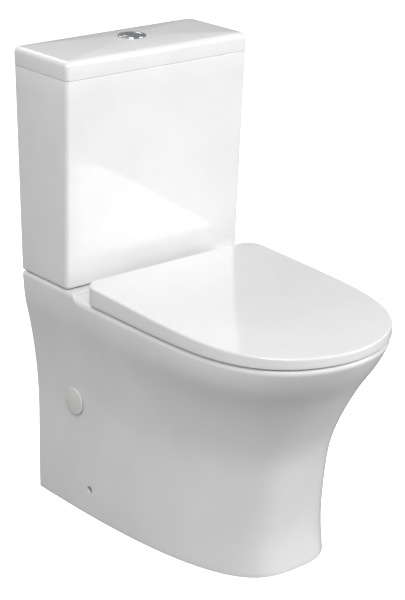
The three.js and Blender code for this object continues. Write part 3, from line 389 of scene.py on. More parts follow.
def add(tree, kind, inputs=None, **settings):
    """Adds a node with its settings, and sets or links its inputs."""
    node = tree.nodes.new(kind)
    for field, value in settings.items():
        setattr(node, field, value)
    for socket, value in (inputs or {}).items():
        if isinstance(value, bpy.types.NodeSocket):
            tree.links.new(value, node.inputs[socket])
        else:
            node.inputs[socket].default_value = value
    return node


def surface(name, tones, patch, gloss, relief, **shader_values):
    """A finish that drifts between two tones over patches, with uneven gloss and a fine relief.

    patch is the real size of the patches, gloss the least and most roughness, and relief the real
    width and depth of the relief.
    """
    material = bpy.data.materials.new(name)
    material.use_nodes = True
    tree = material.node_tree
    shader = tree.nodes["Principled BSDF"]
    place = add(tree, "ShaderNodeTexCoord").outputs["Object"]
    drift = add(tree, "ShaderNodeTexNoise", {"Vector": place, "Scale": 1 / patch, "Detail": 3.0})
    ramp = add(tree, "ShaderNodeValToRGB", {"Fac": drift.outputs["Fac"]})
    for stop, position, tone in zip(ramp.color_ramp.elements, (0.35, 0.65), tones):
        stop.position = position
        stop.color = colour(tone)
    shine = add(tree, "ShaderNodeMapRange", {
        "Value": drift.outputs["Fac"], "From Min": 0.3, "From Max": 0.7,
        "To Min": gloss[0], "To Max": gloss[1],
    })
    width, depth = relief
    grain = add(tree, "ShaderNodeTexNoise", {"Vector": place, "Scale": 1 / width, "Detail": 2.0})
    bump = add(tree, "ShaderNodeBump", {
        "Height": grain.outputs["Fac"], "Strength": 1.0, "Distance": depth,
    })
    tree.links.new(ramp.outputs["Color"], shader.inputs["Base Color"])
    tree.links.new(shine.outputs["Result"], shader.inputs["Roughness"])
    tree.links.new(bump.outputs["Normal"], shader.inputs["Normal"])
    for socket, value in shader_values.items():
        shader.inputs[socket.replace("_", " ")].default_value = value
    return material


# Vitreous china, slip cast and glazed: a deep wet gloss, a tone that drifts where the glaze lies thicker,
# and a very slight orange peel.
china = surface(
    "glazed_vitreous_china", ("#f2f2f2", "#eeeeee"), 90 * MM, (0.06, 0.09), (14 * MM, 0.012 * MM), IOR=1.52,
)
# The same china where no glaze was sprayed, inside the skirt and the lid: fired clay, matt and sandy.
bisque = surface(
    "unglazed_china", ("#e3ddd0", "#d8d1c2"), 40 * MM, (0.7, 0.85), (1.5 * MM, 0.05 * MM), IOR=1.5,
)
# Urea resin, pressed hot in a polished mould: whiter than the china, with an even hard gloss.
seat_resin = surface(
    "moulded_urea_resin", ("#f1f1f1", "#eeeeee"), 120 * MM, (0.12, 0.15), (20 * MM, 0.008 * MM), IOR=1.55,
)
# Polypropylene from a lightly etched mould: satin.
white_plastic = surface(
    "moulded_polypropylene", ("#eaeae7", "#e3e3df"), 30 * MM, (0.38, 0.46), (1.2 * MM, 0.01 * MM), IOR=1.49,
)
# Acetal, which the wet parts of a valve are moulded from: a slightly waxy grey.
grey_plastic = surface(
    "grey_acetal", ("#8b9094", "#83888c"), 25 * MM, (0.42, 0.5), (1.0 * MM, 0.012 * MM), IOR=1.48,
)
# Coloured polypropylene for the parts of a valve that move.
blue_plastic = surface(
    "blue_polypropylene", ("#4a79a8", "#41709f"), 25 * MM, (0.4, 0.48), (1.0 * MM, 0.012 * MM), IOR=1.49,
)
# Bright chrome plating over moulded ABS: a mirror, with the moulding's faint ripple under it.
chrome = surface(
    "chrome_plate", ("#e2e4e6", "#dadde0"), 12 * MM, (0.07, 0.12), (6 * MM, 0.01 * MM), Metallic=1.0,
)
# Cold-formed stainless steel: fine drawn lines blur its gloss.
steel = surface(
    "stainless_steel", ("#b9bbbc", "#adafb1"), 8 * MM, (0.24, 0.34), (0.6 * MM, 0.01 * MM), Metallic=1.0,
)
# Brass turned from bar: warm, with the tool's fine marks and some dulling.
brass = surface(
    "turned_brass", ("#c2a25c", "#b39450"), 8 * MM, (0.28, 0.4), (0.8 * MM, 0.01 * MM), Metallic=1.0,
)
# EPDM rubber, moulded: dull, with a bloom of lighter grey.
rubber = surface(
    "moulded_rubber", ("#2b2b2c", "#363637"), 10 * MM, (0.62, 0.77), (0.8 * MM, 0.03 * MM), IOR=1.5,
)
# Soft vinyl, for the pads that the seat and the cover rest on.
buffer_rubber = surface(
    "soft_vinyl", ("#d9d9d6", "#cfcfcb"), 8 * MM, (0.45, 0.55), (1.0 * MM, 0.015 * MM), IOR=1.45,
)

FINISHES = {
    "vitreous_china": china,
    "seat_plastic": seat_resin,
    "white_plastic": white_plastic,
    "grey_plastic": grey_plastic,
    "blue_plastic": blue_plastic,
    "chrome": chrome,
    "steel": steel,
    "brass": brass,
    "rubber": rubber,
    "buffer": buffer_rubber,
}
for part in frame["record"]["subparts"]:
    node = frame["nodes"][part["node"]]
    node.data.materials.clear()
    node.data.materials.append(FINISHES[part["material_slot"]])

# ---- Outlines ----


def half_outline(half_width, rear, nose, sideways, lengthways, corner=0.0):
    """Half of a rounded outline from its rear edge to its nose, as many (across, distance) pairs."""
    points = []
    if corner > 0:
        for i in range(24):
            turn = i / 24 * math.pi / 2
            across = half_width - corner + corner * math.sin(turn)
            points.append((across, rear + corner - corner * math.cos(turn)))
    start = math.asin((corner / (nose - rear)) ** (lengthways / 2))
    for i in range(401):
        turn = start + (i / 400) ** 3 * (math.pi / 2 - start)
        across = half_width * max(math.cos(turn), 0.0) ** (2 / sideways)
        points.append((across, rear + (nose - rear) * math.sin(turn) ** (2 / lengthways)))
    return np.array(points)


def along(points):
    """How far along an outline each of its points lies, as a share."""
    run = np.concatenate([[0], np.cumsum(np.hypot(*np.diff(points, axis=0).T))])
    return run / run[-1]


def at_shares(points, shares):
    """Points of an outline at shares of its length."""
    lengths = along(points)
    return np.stack([np.interp(shares, lengths, points[:, k]) for k in (0, 1)], axis=1)


def outward(points):
    """Unit vectors that point out of half an outline, straight sideways near the wall."""
    way = np.gradient(points, axis=0)
    out = np.stack([way[:, 1], -way[:, 0]], axis=1)
    out[points[:, 1] < points[:, 1].max() / 20] = (1, 0)
    out[-1] = (0, 1)
    return out / np.linalg.norm(out, axis=1)[:, None]


def whole_loop(half, heights):
    """The points of a whole loop from half an outline, with its height or the heights of its points."""
    heights = np.broadcast_to(heights, len(half))
    left = [Vector((-x, from_wall(d), z)) for (x, d), z in zip(half, heights)]
    right = [Vector((x, from_wall(d), z)) for (x, d), z in zip(half, heights)]
    left[-1].x = 0
    return left + right[-2::-1]


def smooth_curve(spots, values):
    """A natural cubic through values at spots, as a function."""
    x, y = np.array(spots, float), np.array(values, float)
    gap = np.diff(x)
    size = len(x)
    rows = np.eye(size)
    slopes = np.zeros(size)
    for i in range(1, size - 1):
        rows[i, i - 1:i + 2] = gap[i - 1], 2 * (gap[i - 1] + gap[i]), gap[i]
        slopes[i] = 6 * ((y[i + 1] - y[i]) / gap[i] - (y[i] - y[i - 1]) / gap[i - 1])
    bend = np.linalg.solve(rows, slopes)

    def at(spot):
        spot = np.clip(spot, x[0], x[-1])
        i = np.clip(np.searchsorted(x, spot) - 1, 0, size - 2)
        before, after = spot - x[i], x[i + 1] - spot
        bent = (bend[i] * after ** 3 + bend[i + 1] * before ** 3) / (6 * gap[i])
        low = (y[i] / gap[i] - bend[i] * gap[i] / 6) * after
        return bent + low + (y[i + 1] / gap[i] - bend[i + 1] * gap[i] / 6) * before

    return at


# ---- Pan ----

# The skirt leans in a little above the foot, then flares out to the rim: heights as shares of the rim's,
# and how much of the way from the foot's outline to the rim's it has gone there.
FLARE_HEIGHTS = [0, 0.11, 0.37, 0.51, 0.63, 0.73, 0.82, 0.89, 1]
nose_flare = smooth_curve(FLARE_HEIGHTS, [0, -0.04, 0.03, 0.12, 0.28, 0.46, 0.65, 0.82, 1.03])
side_flare = smooth_curve(FLARE_HEIGHTS, [0, -0.01, -0.1, -0.06, 0.1, 0.31, 0.57, 0.79, 0.93])
foot_outline = half_outline(FOOT_HALF_WIDTH, 0, FOOT_LENGTH, 3.1, 2.65)
rim_outline = half_outline(RIM_HALF_WIDTH, 0, RIM_LENGTH, 1.88, 7.97)


def platform_profile():
    """The platform's front edge from the side: (distance, rise over the rim) pairs, from back to front."""
    edge_rise = PLATFORM_RISE - PLATFORM_EDGE / 2
    spots = []
    for come_in, up in reversed(arc(1, 6)):
        spots.append((PLATFORM_LENGTH - PLATFORM_EDGE * come_in, edge_rise + PLATFORM_EDGE / 2 * up))
    for i in range(1, 15):
        turn = math.radians(82 * (1 - i / 14))
        distance = PLATFORM_LENGTH + PLATFORM_SWEEP * (1 - math.sin(turn))
        spots.append((distance, edge_rise * (1 - math.cos(turn))))
    return spots


def skirt_columns():
    """Where the skirt's upright lines stand, as shares of the outline, and how far each top rises."""
    lengths = along(rim_outline)
    profile = platform_profile()
    corner = [(d * MM, PLATFORM_RISE) for d in (0, 0.25, 0.7, 1.4, 2.2, 3)]
    pairs = [(np.interp(d, rim_outline[:, 1], lengths), rise) for d, rise in corner + profile]
    taken = [share for share, _ in pairs]
    first, last = min(taken[len(corner):]), max(taken)
    for share in np.linspace(0, 1, 105):
        if share > last + 0.004:
            pairs.append((share, 0.0))
        elif taken[len(corner) - 1] + 0.004 < share < first - 0.004:
            pairs.append((share, PLATFORM_RISE))
    return map(np.array, zip(*sorted(pairs)))


column_shares, column_rises = skirt_columns()
foot_columns = at_shares(foot_outline, column_shares)
rim_columns = at_shares(rim_outline, column_shares)
edge_radii = np.interp(column_rises, [0, PLATFORM_RISE], [RIM_EDGE_RADIUS, PLATFORM_SIDE_RADIUS])


def skirt_loop(heights, insets=0.0, corner=PAN_CORNER):
    """A loop round the skirt at a height, or at the heights of its columns, drawn in by an inset."""
    heights = np.broadcast_to(heights, len(column_shares))
    share = np.clip(heights / RIM, 0, 1)
    side, nose = side_flare(share), nose_flare(share)
    across = foot_columns[:, 0] + side * (rim_columns[:, 0] - foot_columns[:, 0])
    ahead = foot_columns[:, 1] + nose * (rim_columns[:, 1] - foot_columns[:, 1])
    points = np.stack([across, ahead], axis=1)
    points = points - outward(points) * np.broadcast_to(insets, len(points))[:, None]
    back = np.clip(corner - points[:, 1], 0, corner)
    points[:, 0] -= corner - np.sqrt(corner ** 2 - back ** 2)
    return whole_loop(points, heights)


def skirt_body():
    """The outside of the pan: foot, skirt, rounded rim, and the platform with its hollow front."""
    loops = [
        skirt_loop(FOOT_EDGE_RADIUS - rise, come_in)
        for come_in, rise in reversed(arc(FOOT_EDGE_RADIUS, 3))
    ]
    straight = RIM - RIM_EDGE_RADIUS
    loops += [skirt_loop(height) for height in np.linspace(FOOT_EDGE_RADIUS, straight, 56)[1:]]
    tops = RIM + column_rises
    for share in (0.5, 1.0):
        loops.append(skirt_loop(straight + share * (tops - edge_radii - straight)))
    for come_in, rise in arc(1, 9)[1:]:
        loops.append(skirt_loop(tops - edge_radii * (1 - rise), edge_radii * come_in))
    return skin(loops, start="ladder", end="ladder")


def room_body():
    """The room inside the skirt, open to the floor and to the wall."""
    top = RIM - DECK
    fillet = 9 * MM
    loops = [skirt_loop(height, PAN_WALL, 0.0) for height in np.linspace(-5 * MM, top - fillet, 24)]
    loops += [
        skirt_loop(top - fillet + rise, PAN_WALL + come_in, 0.0) for come_in, rise in arc(fillet, 5)[1:]
    ]
    for loop in loops:
        for point in loop:
            point.y += 5 * MM * max(0.0, 1 - (WALL - point.y) / RIM_LENGTH)
    return piece("room", skin(loops, start="ladder", end="ladder"))


BOWL_DOWN = [0, 0.045, 0.12, 0.25, 0.42, 0.6, 0.8, 0.93, 1]
bowl_width = smooth_curve(BOWL_DOWN, [1, 1.01, 1, 0.92, 0.79, 0.62, 0.43, 0.31, 0.16])
bowl_back = smooth_curve(BOWL_DOWN, [0, 0, 0, 0.05, 0.12, 0.22, 0.36, 0.43, 0.5])
bowl_front = smooth_curve(BOWL_DOWN, [1, 1, 0.985, 0.93, 0.83, 0.73, 0.61, 0.53, 0.44])
bowl_shares = np.linspace(0, 1, 61)


def bowl_loop(down, extra, height):
    width = BOWL_HALF_WIDTH * float(bowl_width(down))
    half = half_outline(
        width + extra,
        BOWL_REAR + float(bowl_back(down)) * 150 * MM - extra,
        BOWL_REAR + (BOWL_NOSE - BOWL_REAR) * float(bowl_front(down)) + extra,
        2.1, 2.6, min(70 * MM, width * 0.6),
    )
    return whole_loop(at_shares(half, bowl_shares), height)


def bowl_body(extra, lip):
    """The bowl's hollow from the sump up to the rim, or, swollen by extra, its outside."""
    depths = np.linspace(1, 0.05, 40)
    loops = [bowl_loop(1, extra - 12 * MM, RIM - BOWL_DEPTH - extra - 3 * MM)]
    for down in depths:
        thicker = extra * max(0, down - 0.9) * 10
        loops.append(bowl_loop(down, extra, RIM - BOWL_DEPTH * down - thicker))
    if lip:
        low = RIM - BOWL_LIP
        for come_out, rise in arc(BOWL_LIP, 8, stop=78):
            loops.append(bowl_loop(0, extra + come_out, low + rise))
        loops.append(bowl_loop(0, extra + BOWL_LIP, RIM + 0.4 * MM))
        loops.append(bowl_loop(0, extra + BOWL_LIP, RIM + 20 * MM))
    else:
        loops.append(bowl_loop(0, extra, RIM - 2 * MM))
    return piece("bowl", skin(loops))


# The trap dips under the bowl, climbs over its weir and drops to the outlet: (distance, height) in mm.
TRAP_ROUTE = [
    (400, 150), (355, 130), (310, 126), (268, 146), (240, 188), (216, 226), (186, 240), (156, 226),
    (130, 202), (104, 184), (84, 180), (70, 180),
]
DUCT_ROUTE = [(72, 402), (72, 370), (104, 342), (182, 348), (258, 362)]


def in_metres(route):
    return [(distance * MM, height * MM) for distance, height in route]


def pan():
    """Skirt, bowl, trap, duct and platform, one casting."""
    made = coat(piece("pan", skirt_body()), china)
    combine(made, [coat(room_body(), bisque)], "DIFFERENCE")
    y = from_wall(FITTINGS)
    top = RIM + PLATFORM_RISE
    bevel = 3 * MM
    outlet = [
        (0, -SPIGOT_LENGTH), (OUTLET_RADIUS - bevel, -SPIGOT_LENGTH), (OUTLET_RADIUS, bevel - SPIGOT_LENGTH),
        (OUTLET_RADIUS, -bevel), (OUTLET_RADIUS - bevel, 0), (0, 0),
    ]
    spigot = turned("spigot", outlet, (0, from_wall(OUTLET_SETBACK), OUTLET_HEIGHT), "Y")
    joined = [
        bowl_body(BOWL_WALL, False),
        pipe(in_metres(TRAP_ROUTE), TRAP_RADIUS + TRAP_WALL),
        pipe(in_metres(DUCT_ROUTE), DUCT_RADIUS + DUCT_WALL),
        rod(COUPLING_RECESS_RADIUS + 8 * MM, top - COUPLING_RECESS - 14 * MM, RIM - 2 * MM, (0, y, 0)),
        spigot,
    ]
    combine(made, [coat(body, bisque) for body in joined], "UNION")
    recess = [(0, -COUPLING_RECESS), (COUPLING_RECESS_RADIUS, -COUPLING_RECESS)]
    recess += [(COUPLING_RECESS_RADIUS + a, b - 2 * MM) for a, b in arc(2 * MM, 4)]
    recess += [(COUPLING_RECESS_RADIUS + 2 * MM, 9 * MM), (0, 9 * MM)]
    cuts = [
        bowl_body(0, True),
        pipe(in_metres(TRAP_ROUTE + [(55, 180)]), TRAP_RADIUS),
        pipe(in_metres([(72, 417)] + DUCT_ROUTE + [(286, 366)]), DUCT_RADIUS),
        turned("recess", recess, (0, y, top)),
        rod(FILL_RECESS_RADIUS, DECK_HOLES_LOW, DECK_HOLES_HIGH, (FILL_OFFSET, y, 0)),
    ]
    for side in SIDES.values():
        reach = sorted((side * SKIRT_HOLES_FROM, side * SKIRT_HOLES_TO))
        bolt = (side * BOLT_SPREAD / 2, y, 0)
        stud = (side * HINGE_SPREAD / 2, from_wall(HINGE), 0)
        cuts += [
            rod(BOLT_HOLE_RADIUS, DECK_HOLES_LOW, DECK_HOLES_HIGH, bolt, segments=32),
            rod(STUD_HOLE_RADIUS, DECK_HOLES_LOW, DECK_HOLES_HIGH, stud, segments=32),
            rod(CAP_HOLE_RADIUS, *reach, (0, from_wall(CAP_DISTANCE), CAP_HEIGHT), "X"),
            rod(SCREW_HOLE_RADIUS, *reach, (0, from_wall(SCREW_DISTANCE), SCREW_HEIGHT), "X", 32),
        ]
    combine(made, [coat(body, china) for body in cuts], "DIFFERENCE")
    nodes = [name for name in frame["nodes"] if name == "pan" or name.startswith("pan_")]
    finish(made, "base", "vitreous_china", china, *nodes)


pan()

# ---- Tank and its lid ----


def box_loop(half_width, rear, nose, radius, height, steps=8):
    """A rectangle with round corners, as a loop. It starts behind on the right and runs to the left."""
    loop = []
    corners = [
        (half_width - radius, rear + radius), (radius - half_width, rear + radius),
        (radius - half_width, nose - radius), (half_width - radius, nose - radius),
    ]
    for quarter, (x, distance) in enumerate(corners):
        for i in range(steps + 1):
            turn = (quarter + i / steps) * math.pi / 2
            y = from_wall(distance) + radius * math.sin(turn)
            loop.append(Vector((x + radius * math.cos(turn), y, height)))
    return loop


def tank():
    """The tank, slightly wider and deeper at its top, with soft edges."""
    top_half_width, top_length = tank_high.x, WALL - tank_low.y

    def loop(height, inset, corner=TANK_CORNER):
        share = (height - tank_low.z) / (tank_high.z - tank_low.z)
        half_width = TANK_FOOT_HALF_WIDTH + share * (top_half_width - TANK_FOOT_HALF_WIDTH) - inset
        nose = TANK_FOOT_LENGTH + share * (top_length - TANK_FOOT_LENGTH) - inset
        return box_loop(half_width, inset, nose, max(corner - inset / 2, 2 * MM), height)

    foot = [
        loop(tank_low.z + TANK_FOOT_RADIUS - rise, come_in)
        for come_in, rise in reversed(arc(TANK_FOOT_RADIUS, 7))
    ]
    straight = tank_high.z - TANK_LIP
    sides = [loop(z, 0) for z in np.linspace(tank_low.z + TANK_FOOT_RADIUS, straight, 12)[1:]]
    round_lip = arc(TANK_LIP, 4)
    lip = [loop(straight + rise, come_in) for come_in, rise in round_lip[1:]]
    inner = [loop(straight + rise, TANK_WALL - come_in) for come_in, rise in reversed(round_lip)]
    floor = tank_low.z + TANK_FLOOR
    room = [
        loop(floor + TANK_FILLET - rise, TANK_WALL + come_in) for come_in, rise in arc(TANK_FILLET, 5)
    ]
    made = piece("tank", skin(foot + sides + lip + inner + room))
    y = from_wall(FITTINGS)
    bores = [(VALVE_HOLE_RADIUS, 0), (FILL_HOLE_RADIUS, FILL_OFFSET)]
    bores += [(BOLT_HOLE_RADIUS, side * BOLT_SPREAD / 2) for side in SIDES.values()]
    low, high = tank_low.z - CUT_PAST, floor + CUT_PAST
    combine(made, [rod(radius, low, high, (x, y, 0)) for radius, x in bores], "DIFFERENCE")
    finish(made, "base", "vitreous_china", china, "tank")


def tank_lid():
    """The lid: soft upper edges, a low crown, and a frame underneath that drops into the tank."""
    half_width, length = lid_high.x, WALL - lid_low.y
    bottom = lid_low.z + LID_LIP_DROP
    edge_top = bottom + LID_SIDE
    top = lid_high.z

    def loop(inset, height, corner=TANK_CORNER):
        return box_loop(half_width - inset, inset, length - inset, corner, height)

    foot = reversed(arc(LID_FOOT_RADIUS, 4))
    loops = [loop(come_in, bottom + LID_FOOT_RADIUS - rise) for come_in, rise in foot]
    edge = arc(LID_EDGE_RADIUS, 12, stop=81)
    loops += [
        loop(come_in, edge_top - LID_EDGE_RADIUS + rise, TANK_CORNER + come_in / 2) for come_in, rise in edge
    ]
    last_inset, last_rise = edge[-1]
    start = edge_top - LID_EDGE_RADIUS + last_rise
    for i in range(1, 15):
        share = i / 15
        inset = last_inset + share * (length / 2 - last_inset)
        height = start + (top - start) * (1 - (1 - share) ** 2)
        loops.append(box_loop(
            half_width - last_inset - share * (half_width - last_inset) * 0.96, inset, length - inset,
            min(TANK_CORNER + last_inset / 2 + share * 8 * MM, (length - 2 * inset) / 2.1), height,
        ))
    made = coat(piece("tank_lid", skin(loops)), china)
    hollow = [loop(LID_WALL, z) for z in (bottom - CUT_PAST, edge_top - LID_WALL)]
    combine(made, [coat(piece("hollow", skin(hollow)), bisque)], "DIFFERENCE")
    lip_inset = (half_width - tank_high.x) + TANK_WALL + LID_LIP_GAP
    heights = (bottom - LID_LIP_DROP, edge_top - LID_WALL + MM)
    lip = coat(piece("lip", skin([loop(lip_inset, z) for z in heights])), bisque)
    inner = [loop(lip_inset + LID_LIP_WALL, z) for z in (heights[0] - CUT_PAST, heights[1] + MM)]
    combine(lip, [coat(piece("lip_room", skin(inner)), bisque)], "DIFFERENCE")
    combine(made, [lip], "UNION")
    spot = (0, from_wall(length / 2), 0)
    hole = rod(BUTTON_HOLE_RADIUS, bottom - 2 * CUT_PAST, top + 2 * CUT_PAST, spot)
    combine(made, [coat(hole, china)], "DIFFERENCE")
    finish(made, "tank_cover", "vitreous_china", china, "tank_lid")


tank()
tank_lid()

# ---- Seat ----

cover_slope = (COVER_REAR_HEIGHT - COVER_NOSE_HEIGHT) / (DEPTH - COVER_REAR)
seat_shares = np.concatenate([np.linspace(0, 0.09, 14)[:-1], np.linspace(0.09, 1, 88)])


def cover_top(distance):
    return COVER_REAR_HEIGHT - cover_slope * (distance - COVER_REAR)


def seat_loop(half, height):
    """A loop from half an outline. height is a number, or gives it from the distance."""
    points = at_shares(half, seat_shares)
    return whole_loop(points, height(points[:, 1]) if callable(height) else height)


def cover_outline(inset):
    corner = max(COVER_CORNER - inset, 4 * MM)
    return half_outline(cover_high.x - inset, COVER_REAR + inset, DEPTH - inset, 1.88, 5.75, corner)


def hinge_eye(radius, x0, x1):
    return rod(radius, x0, x1, (0, from_wall(HINGE), HINGE_HEIGHT), "X", 40)


def seat_cover():
    """The cover wraps over the seat ring, so its side comes down to just above the rim."""
    bottom = cover_low.z
    foot = 1.0 * MM
    loops = [
        seat_loop(cover_outline(come_in), bottom + foot - rise) for come_in, rise in reversed(arc(foot, 3))
    ]
    radius = COVER_EDGE_RADIUS
    for share in (0.3, 0.6):
        loops.append(seat_loop(
            cover_outline(0),
            lambda d, share=share: bottom + foot + share * (cover_top(d) - radius - bottom - foot),
        ))
    for come_in, rise in arc(radius, 8):
        loops.append(seat_loop(cover_outline(come_in), lambda d, rise=rise: cover_top(d) - radius + rise))
    made = piece("seat_cover", skin(loops, end="ladder"))
    room = [
        seat_loop(cover_outline(COVER_WALL), bottom - CUT_PAST),
        seat_loop(cover_outline(COVER_WALL), lambda d: cover_top(d) - COVER_WALL - 2 * MM),
        seat_loop(cover_outline(COVER_WALL + 0.6 * MM), lambda d: cover_top(d) - COVER_WALL - 0.6 * MM),
        seat_loop(cover_outline(COVER_WALL + 2 * MM), lambda d: cover_top(d) - COVER_WALL),
    ]
    half_opening = HINGE_SPREAD / 2 + 35 * MM
    opening = block(
        (-half_opening, from_wall(COVER_REAR + COVER_WALL + MM), bottom - CUT_PAST),
        (half_opening, from_wall(COVER_REAR - 5 * MM), cover_top(COVER_REAR + COVER_WALL) - COVER_WALL),
    )
    combine(made, [piece("room", skin(room, end="ladder")), opening], "DIFFERENCE")
    ears, bores = [], []
    for side in SIDES.values():
        inner = HINGE_SPREAD / 2 + EYE_OFFSET
        x0, x1 = sorted((side * inner, side * (inner + EYE_LENGTH)))
        ears.append(hinge_eye(EYE_RADIUS, x0, x1))
        ears.append(block(
            (x0, from_wall(HINGE + 5 * MM), HINGE_HEIGHT),
            (x1, from_wall(HINGE - 5 * MM), cover_top(HINGE) - COVER_WALL + MM),
        ))
        bores.append(hinge_eye(EYE_BORE_RADIUS, x0 - 5 * MM, x1 + 5 * MM))
    combine(made, ears, "UNION")
    combine(made, bores, "DIFFERENCE")
    finish(made, "cover", "seat_plastic", seat_resin, "seat_cover")


def seat_ring():
    """The ring that is sat on: rounded outside, sloped gently to its hole."""
    bottom = ring_low.z
    rounding = 4 * MM
    hole_rounding = 8 * MM

    def top(distance):
        return cover_top(distance) - COVER_WALL - 3 * MM

    def outer(inset):
        return half_outline(
            cover_high.x - RING_SETBACK - inset, RING_REAR + inset, DEPTH - RING_SETBACK - inset,
            1.88, 5.4, 14 * MM - inset,
        )

    def hole(inset):
        return half_outline(
            RING_HOLE_HALF_WIDTH + inset, RING_HOLE_REAR - inset,
            DEPTH - RING_SETBACK - RING_HOLE_MARGIN + inset, 2, 2.6, RING_HOLE_CORNER + inset,
        )

    loops = [seat_loop(outer(MM), bottom), seat_loop(outer(0), bottom + MM)]
    for come_in, rise in arc(rounding, 7):
        loops.append(seat_loop(outer(come_in), lambda d, rise=rise: top(d) - rounding + rise))
    for come_in, rise in reversed(arc(hole_rounding, 9)):
        loops.append(seat_loop(hole(come_in), lambda d, rise=rise: top(d) - 0.8 * MM - hole_rounding + rise))
    loops += [seat_loop(hole(0), bottom + MM), seat_loop(hole(MM), bottom)]
    made = piece("seat_ring", skin(loops, start="meet"))
    ears, bores = [], []
    for side in SIDES.values():
        outer_x = HINGE_SPREAD / 2 - EYE_OFFSET
        x0, x1 = sorted((side * outer_x, side * (outer_x - EYE_LENGTH)))
        ears.append(hinge_eye(EYE_RADIUS, x0, x1))
        ears.append(block(
            (x0, from_wall(RING_REAR + 8 * MM), HINGE_HEIGHT - 6 * MM),
            (x1, from_wall(HINGE), HINGE_HEIGHT + MM),
        ))
        bores.append(hinge_eye(EYE_BORE_RADIUS, x0 - 5 * MM, x1 + 5 * MM))
    combine(made, ears, "UNION")
    combine(made, bores, "DIFFERENCE")
    finish(made, "seat", "seat_plastic", seat_resin, "seat_ring")


seat_cover()
seat_ring()

# ---- Side caps and flush button ----


def skirt_half_width(height, distance):
    """Half width of the skirt at a height and a distance from the wall."""
    half = skirt_loop(height)[:len(column_shares)]
    return float(np.interp(distance, [WALL - point.y for point in half], [-point.x for point in half]))


def side_cap(word, side):
    """A push-in cap over the access hole in the skirt, lying along the skirt's side."""
    plug, plug_length = CAP_RADIUS - 4 * MM, 12 * MM
    profile = [(0, -plug_length), (plug, -plug_length), (plug, 0), (CAP_RADIUS - 0.4 * MM, 0)]
    profile += [(CAP_RADIUS - a, 0.4 * MM + b) for a, b in arc(1.6 * MM, 5)]
    profile += [(CAP_RADIUS - 9 * MM, 2.5 * MM), (0, 2.8 * MM)]
    made = turned(f"side_cap_{word}_fine", profile, segments=96)
    steps = (-CAP_RADIUS, CAP_RADIUS)
    reach = max(skirt_half_width(CAP_HEIGHT + step, CAP_DISTANCE) for step in steps)
    rear, ahead = (skirt_half_width(CAP_HEIGHT, CAP_DISTANCE + step) for step in steps)
    lean = math.atan2(rear - ahead, 2 * CAP_RADIUS)
    way = Vector((side * math.cos(lean), -math.sin(lean), 0))
    spot = Matrix.Translation((side * (reach + TOUCH), from_wall(CAP_DISTANCE), CAP_HEIGHT))
    made.data.transform(spot @ way.to_track_quat("Z", "Y").to_matrix().to_4x4())
    finish(made, "base", "white_plastic", white_plastic, f"side_cap_{word}")


for word, side in SIDES.items():
    side_cap(word, side)


def flush_button():
    """A chrome ring in the lid, with two chrome buttons inside it."""
    spot = ((bezel_low.x + bezel_high.x) / 2, (bezel_low.y + bezel_high.y) / 2, 0)
    top = bezel_high.z
    lid_top = lid_high.z
    radius = (bezel_high.x - bezel_low.x) / 2
    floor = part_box("full_flush_spring")[0].z - TOUCH
    sleeve = 19 * MM
    bore = 16.6 * MM
    under = floor - 3 * MM
    skirt_low = lid_top - 38 * MM
    collar = lid_top + 0.3 * MM
    ring = [
        (0, under), (sleeve - 2 * MM, under), (sleeve - 2 * MM, skirt_low),
        (sleeve, skirt_low), (sleeve, collar), (radius - 0.3 * MM, collar),
    ]
    ring += [(radius - a, lid_top + 0.6 * MM + b) for a, b in arc(1.6 * MM, 6)]
    ring += [(bore + 2.4 * MM, top), (bore + 1.2 * MM, top - 0.2 * MM), (bore + 0.4 * MM, top - 0.7 * MM),
             (bore, top - 1.6 * MM), (bore, floor), (0, floor)]
    bezel = turned("button_ring", ring, spot, segments=128)
    holes = []
    for side in SIDES.values():
        middle = (spot[0] + side * ROD_SPREAD / 2, spot[1], 0)
        holes.append(rod(ROD_HOLE_RADIUS, floor - CUT_PAST, floor + CUT_PAST, middle, segments=24))
    combine(bezel, holes, "DIFFERENCE")
    finish(bezel, "tank_cover", "chrome", chrome, "button_bezel")
    for word, side in (("half", -1), ("full", 1)):
        low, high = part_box(f"{word}_flush_button")
        bevel, edge = 0.4 * MM, 1.4 * MM
        disc = [(0, low.z), (BUTTON_RADIUS - bevel, low.z), (BUTTON_RADIUS, low.z + bevel)]
        disc += [(BUTTON_RADIUS - a, top - edge + b) for a, b in arc(edge, 6)]
        dish = BUTTON_RADIUS - 2 * MM
        disc += [(dish * u, top - BUTTON_DISH * (1 - u * u)) for u in np.linspace(1, 0, 14)]
        button = turned(f"{word}_flush_button_fine", disc, spot, segments=128)
        split = high.x if side < 0 else low.x
        near, far = sorted((split, split - side * 40 * MM))
        reach = 30 * MM
        cut = block(
            (near, spot[1] - reach, low.z - CUT_PAST), (far, spot[1] + reach, high.z + CUT_PAST)
        )
        combine(button, [cut], "DIFFERENCE")
        finish(button, f"{word}_flush", "chrome", chrome, f"{word}_flush_button")
        flush_spring(word, side, spot)


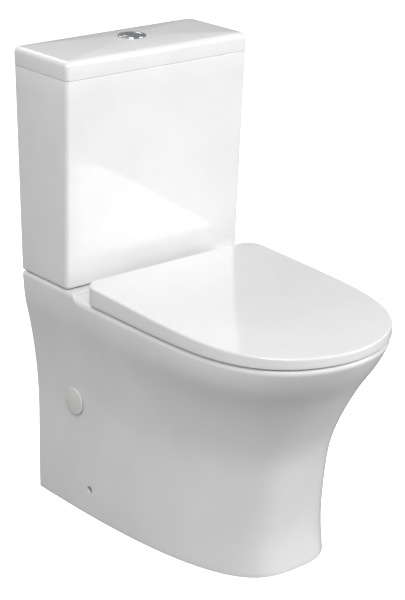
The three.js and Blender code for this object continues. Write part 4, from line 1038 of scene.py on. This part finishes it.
def flush_spring(word, side, spot):
    """A coil of steel wire round a button's rod, standing on the ring's floor."""
    low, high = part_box(f"{word}_flush_spring")
    bottom, top = low.z + SPRING_WIRE, high.z - SPRING_WIRE
    up = Vector((0, 0, 1))
    foot = Vector((spot[0] + side * ROD_SPREAD / 2, spot[1], 0))
    loops = []
    for share in np.linspace(0, 1, SPRING_TURNS * 32 + 1):
        turn = share * SPRING_TURNS * 2 * math.pi
        out = Vector((math.cos(turn), math.sin(turn), 0))
        middle = foot + up * (bottom + share * (top - bottom)) + out * SPRING_RADIUS
        around = [math.radians(angle) for angle in range(0, 360, 30)]
        loops.append([middle + SPRING_WIRE * (out * math.cos(a) + up * math.sin(a)) for a in around])
    made = piece(f"{word}_flush_spring_fine", skin(loops))
    finish(made, "tank_cover", "steel", steel, f"{word}_flush_spring")
    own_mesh(made)


flush_button()

# ---- Floor and light ----


def pale_floor():
    bm = bmesh.new()
    bmesh.ops.create_circle(bm, cap_ends=True, radius=14, segments=96)
    floor = piece("floor", bm)
    material = bpy.data.materials.new("pale_floor")
    material.use_nodes = True
    shader = material.node_tree.nodes["Principled BSDF"]
    shader.inputs["Base Color"].default_value = colour("#fafafa")
    shader.inputs["Roughness"].default_value = 0.9
    shader.inputs["Specular IOR Level"].default_value = 0.1
    shader.inputs["Emission Color"].default_value = (1, 1, 1, 1)
    shader.inputs["Emission Strength"].default_value = 0.9
    floor.data.materials.append(material)
    # The floor is only looked at: it throws no light back up at the china.
    floor.visible_diffuse = False
    floor.visible_glossy = False


def soft_box(name, spot, aim, width, height, power):
    """A large soft light at a spot, turned to face a point."""
    data = bpy.data.lights.new(name, "AREA")
    data.shape = "RECTANGLE"
    data.size = width
    data.size_y = height
    data.energy = power
    lamp = bpy.data.objects.new(name, data)
    lamp.matrix_world = Matrix.Translation(spot) @ (
        (Vector(spot) - Vector(aim)).to_track_quat("Z", "Y").to_matrix().to_4x4()
    )
    bpy.context.scene.collection.objects.link(lamp)


def studio():
    world = bpy.data.worlds.new("studio")
    bpy.context.scene.world = world
    world.use_nodes = True
    background = world.node_tree.nodes["Background"]
    background.inputs["Color"].default_value = (1, 1, 1, 1)
    background.inputs["Strength"].default_value = 0.265
    middle = (0, 0, 0.45)
    soft_box("front_right", (2.4, -2.4, 1.4), middle, 2, 2, 78)
    soft_box("front_left_high", (-1.8, -1.8, 2.9), middle, 2, 2, 80)
    soft_box("left", (-3.4, 0, 1.0), middle, 2, 2, 8)
    soft_box("back_high", (0, 2.6, 3.0), middle, 2, 2, 28)
    bpy.context.scene.view_settings.view_transform = "Standard"


pale_floor()
studio()
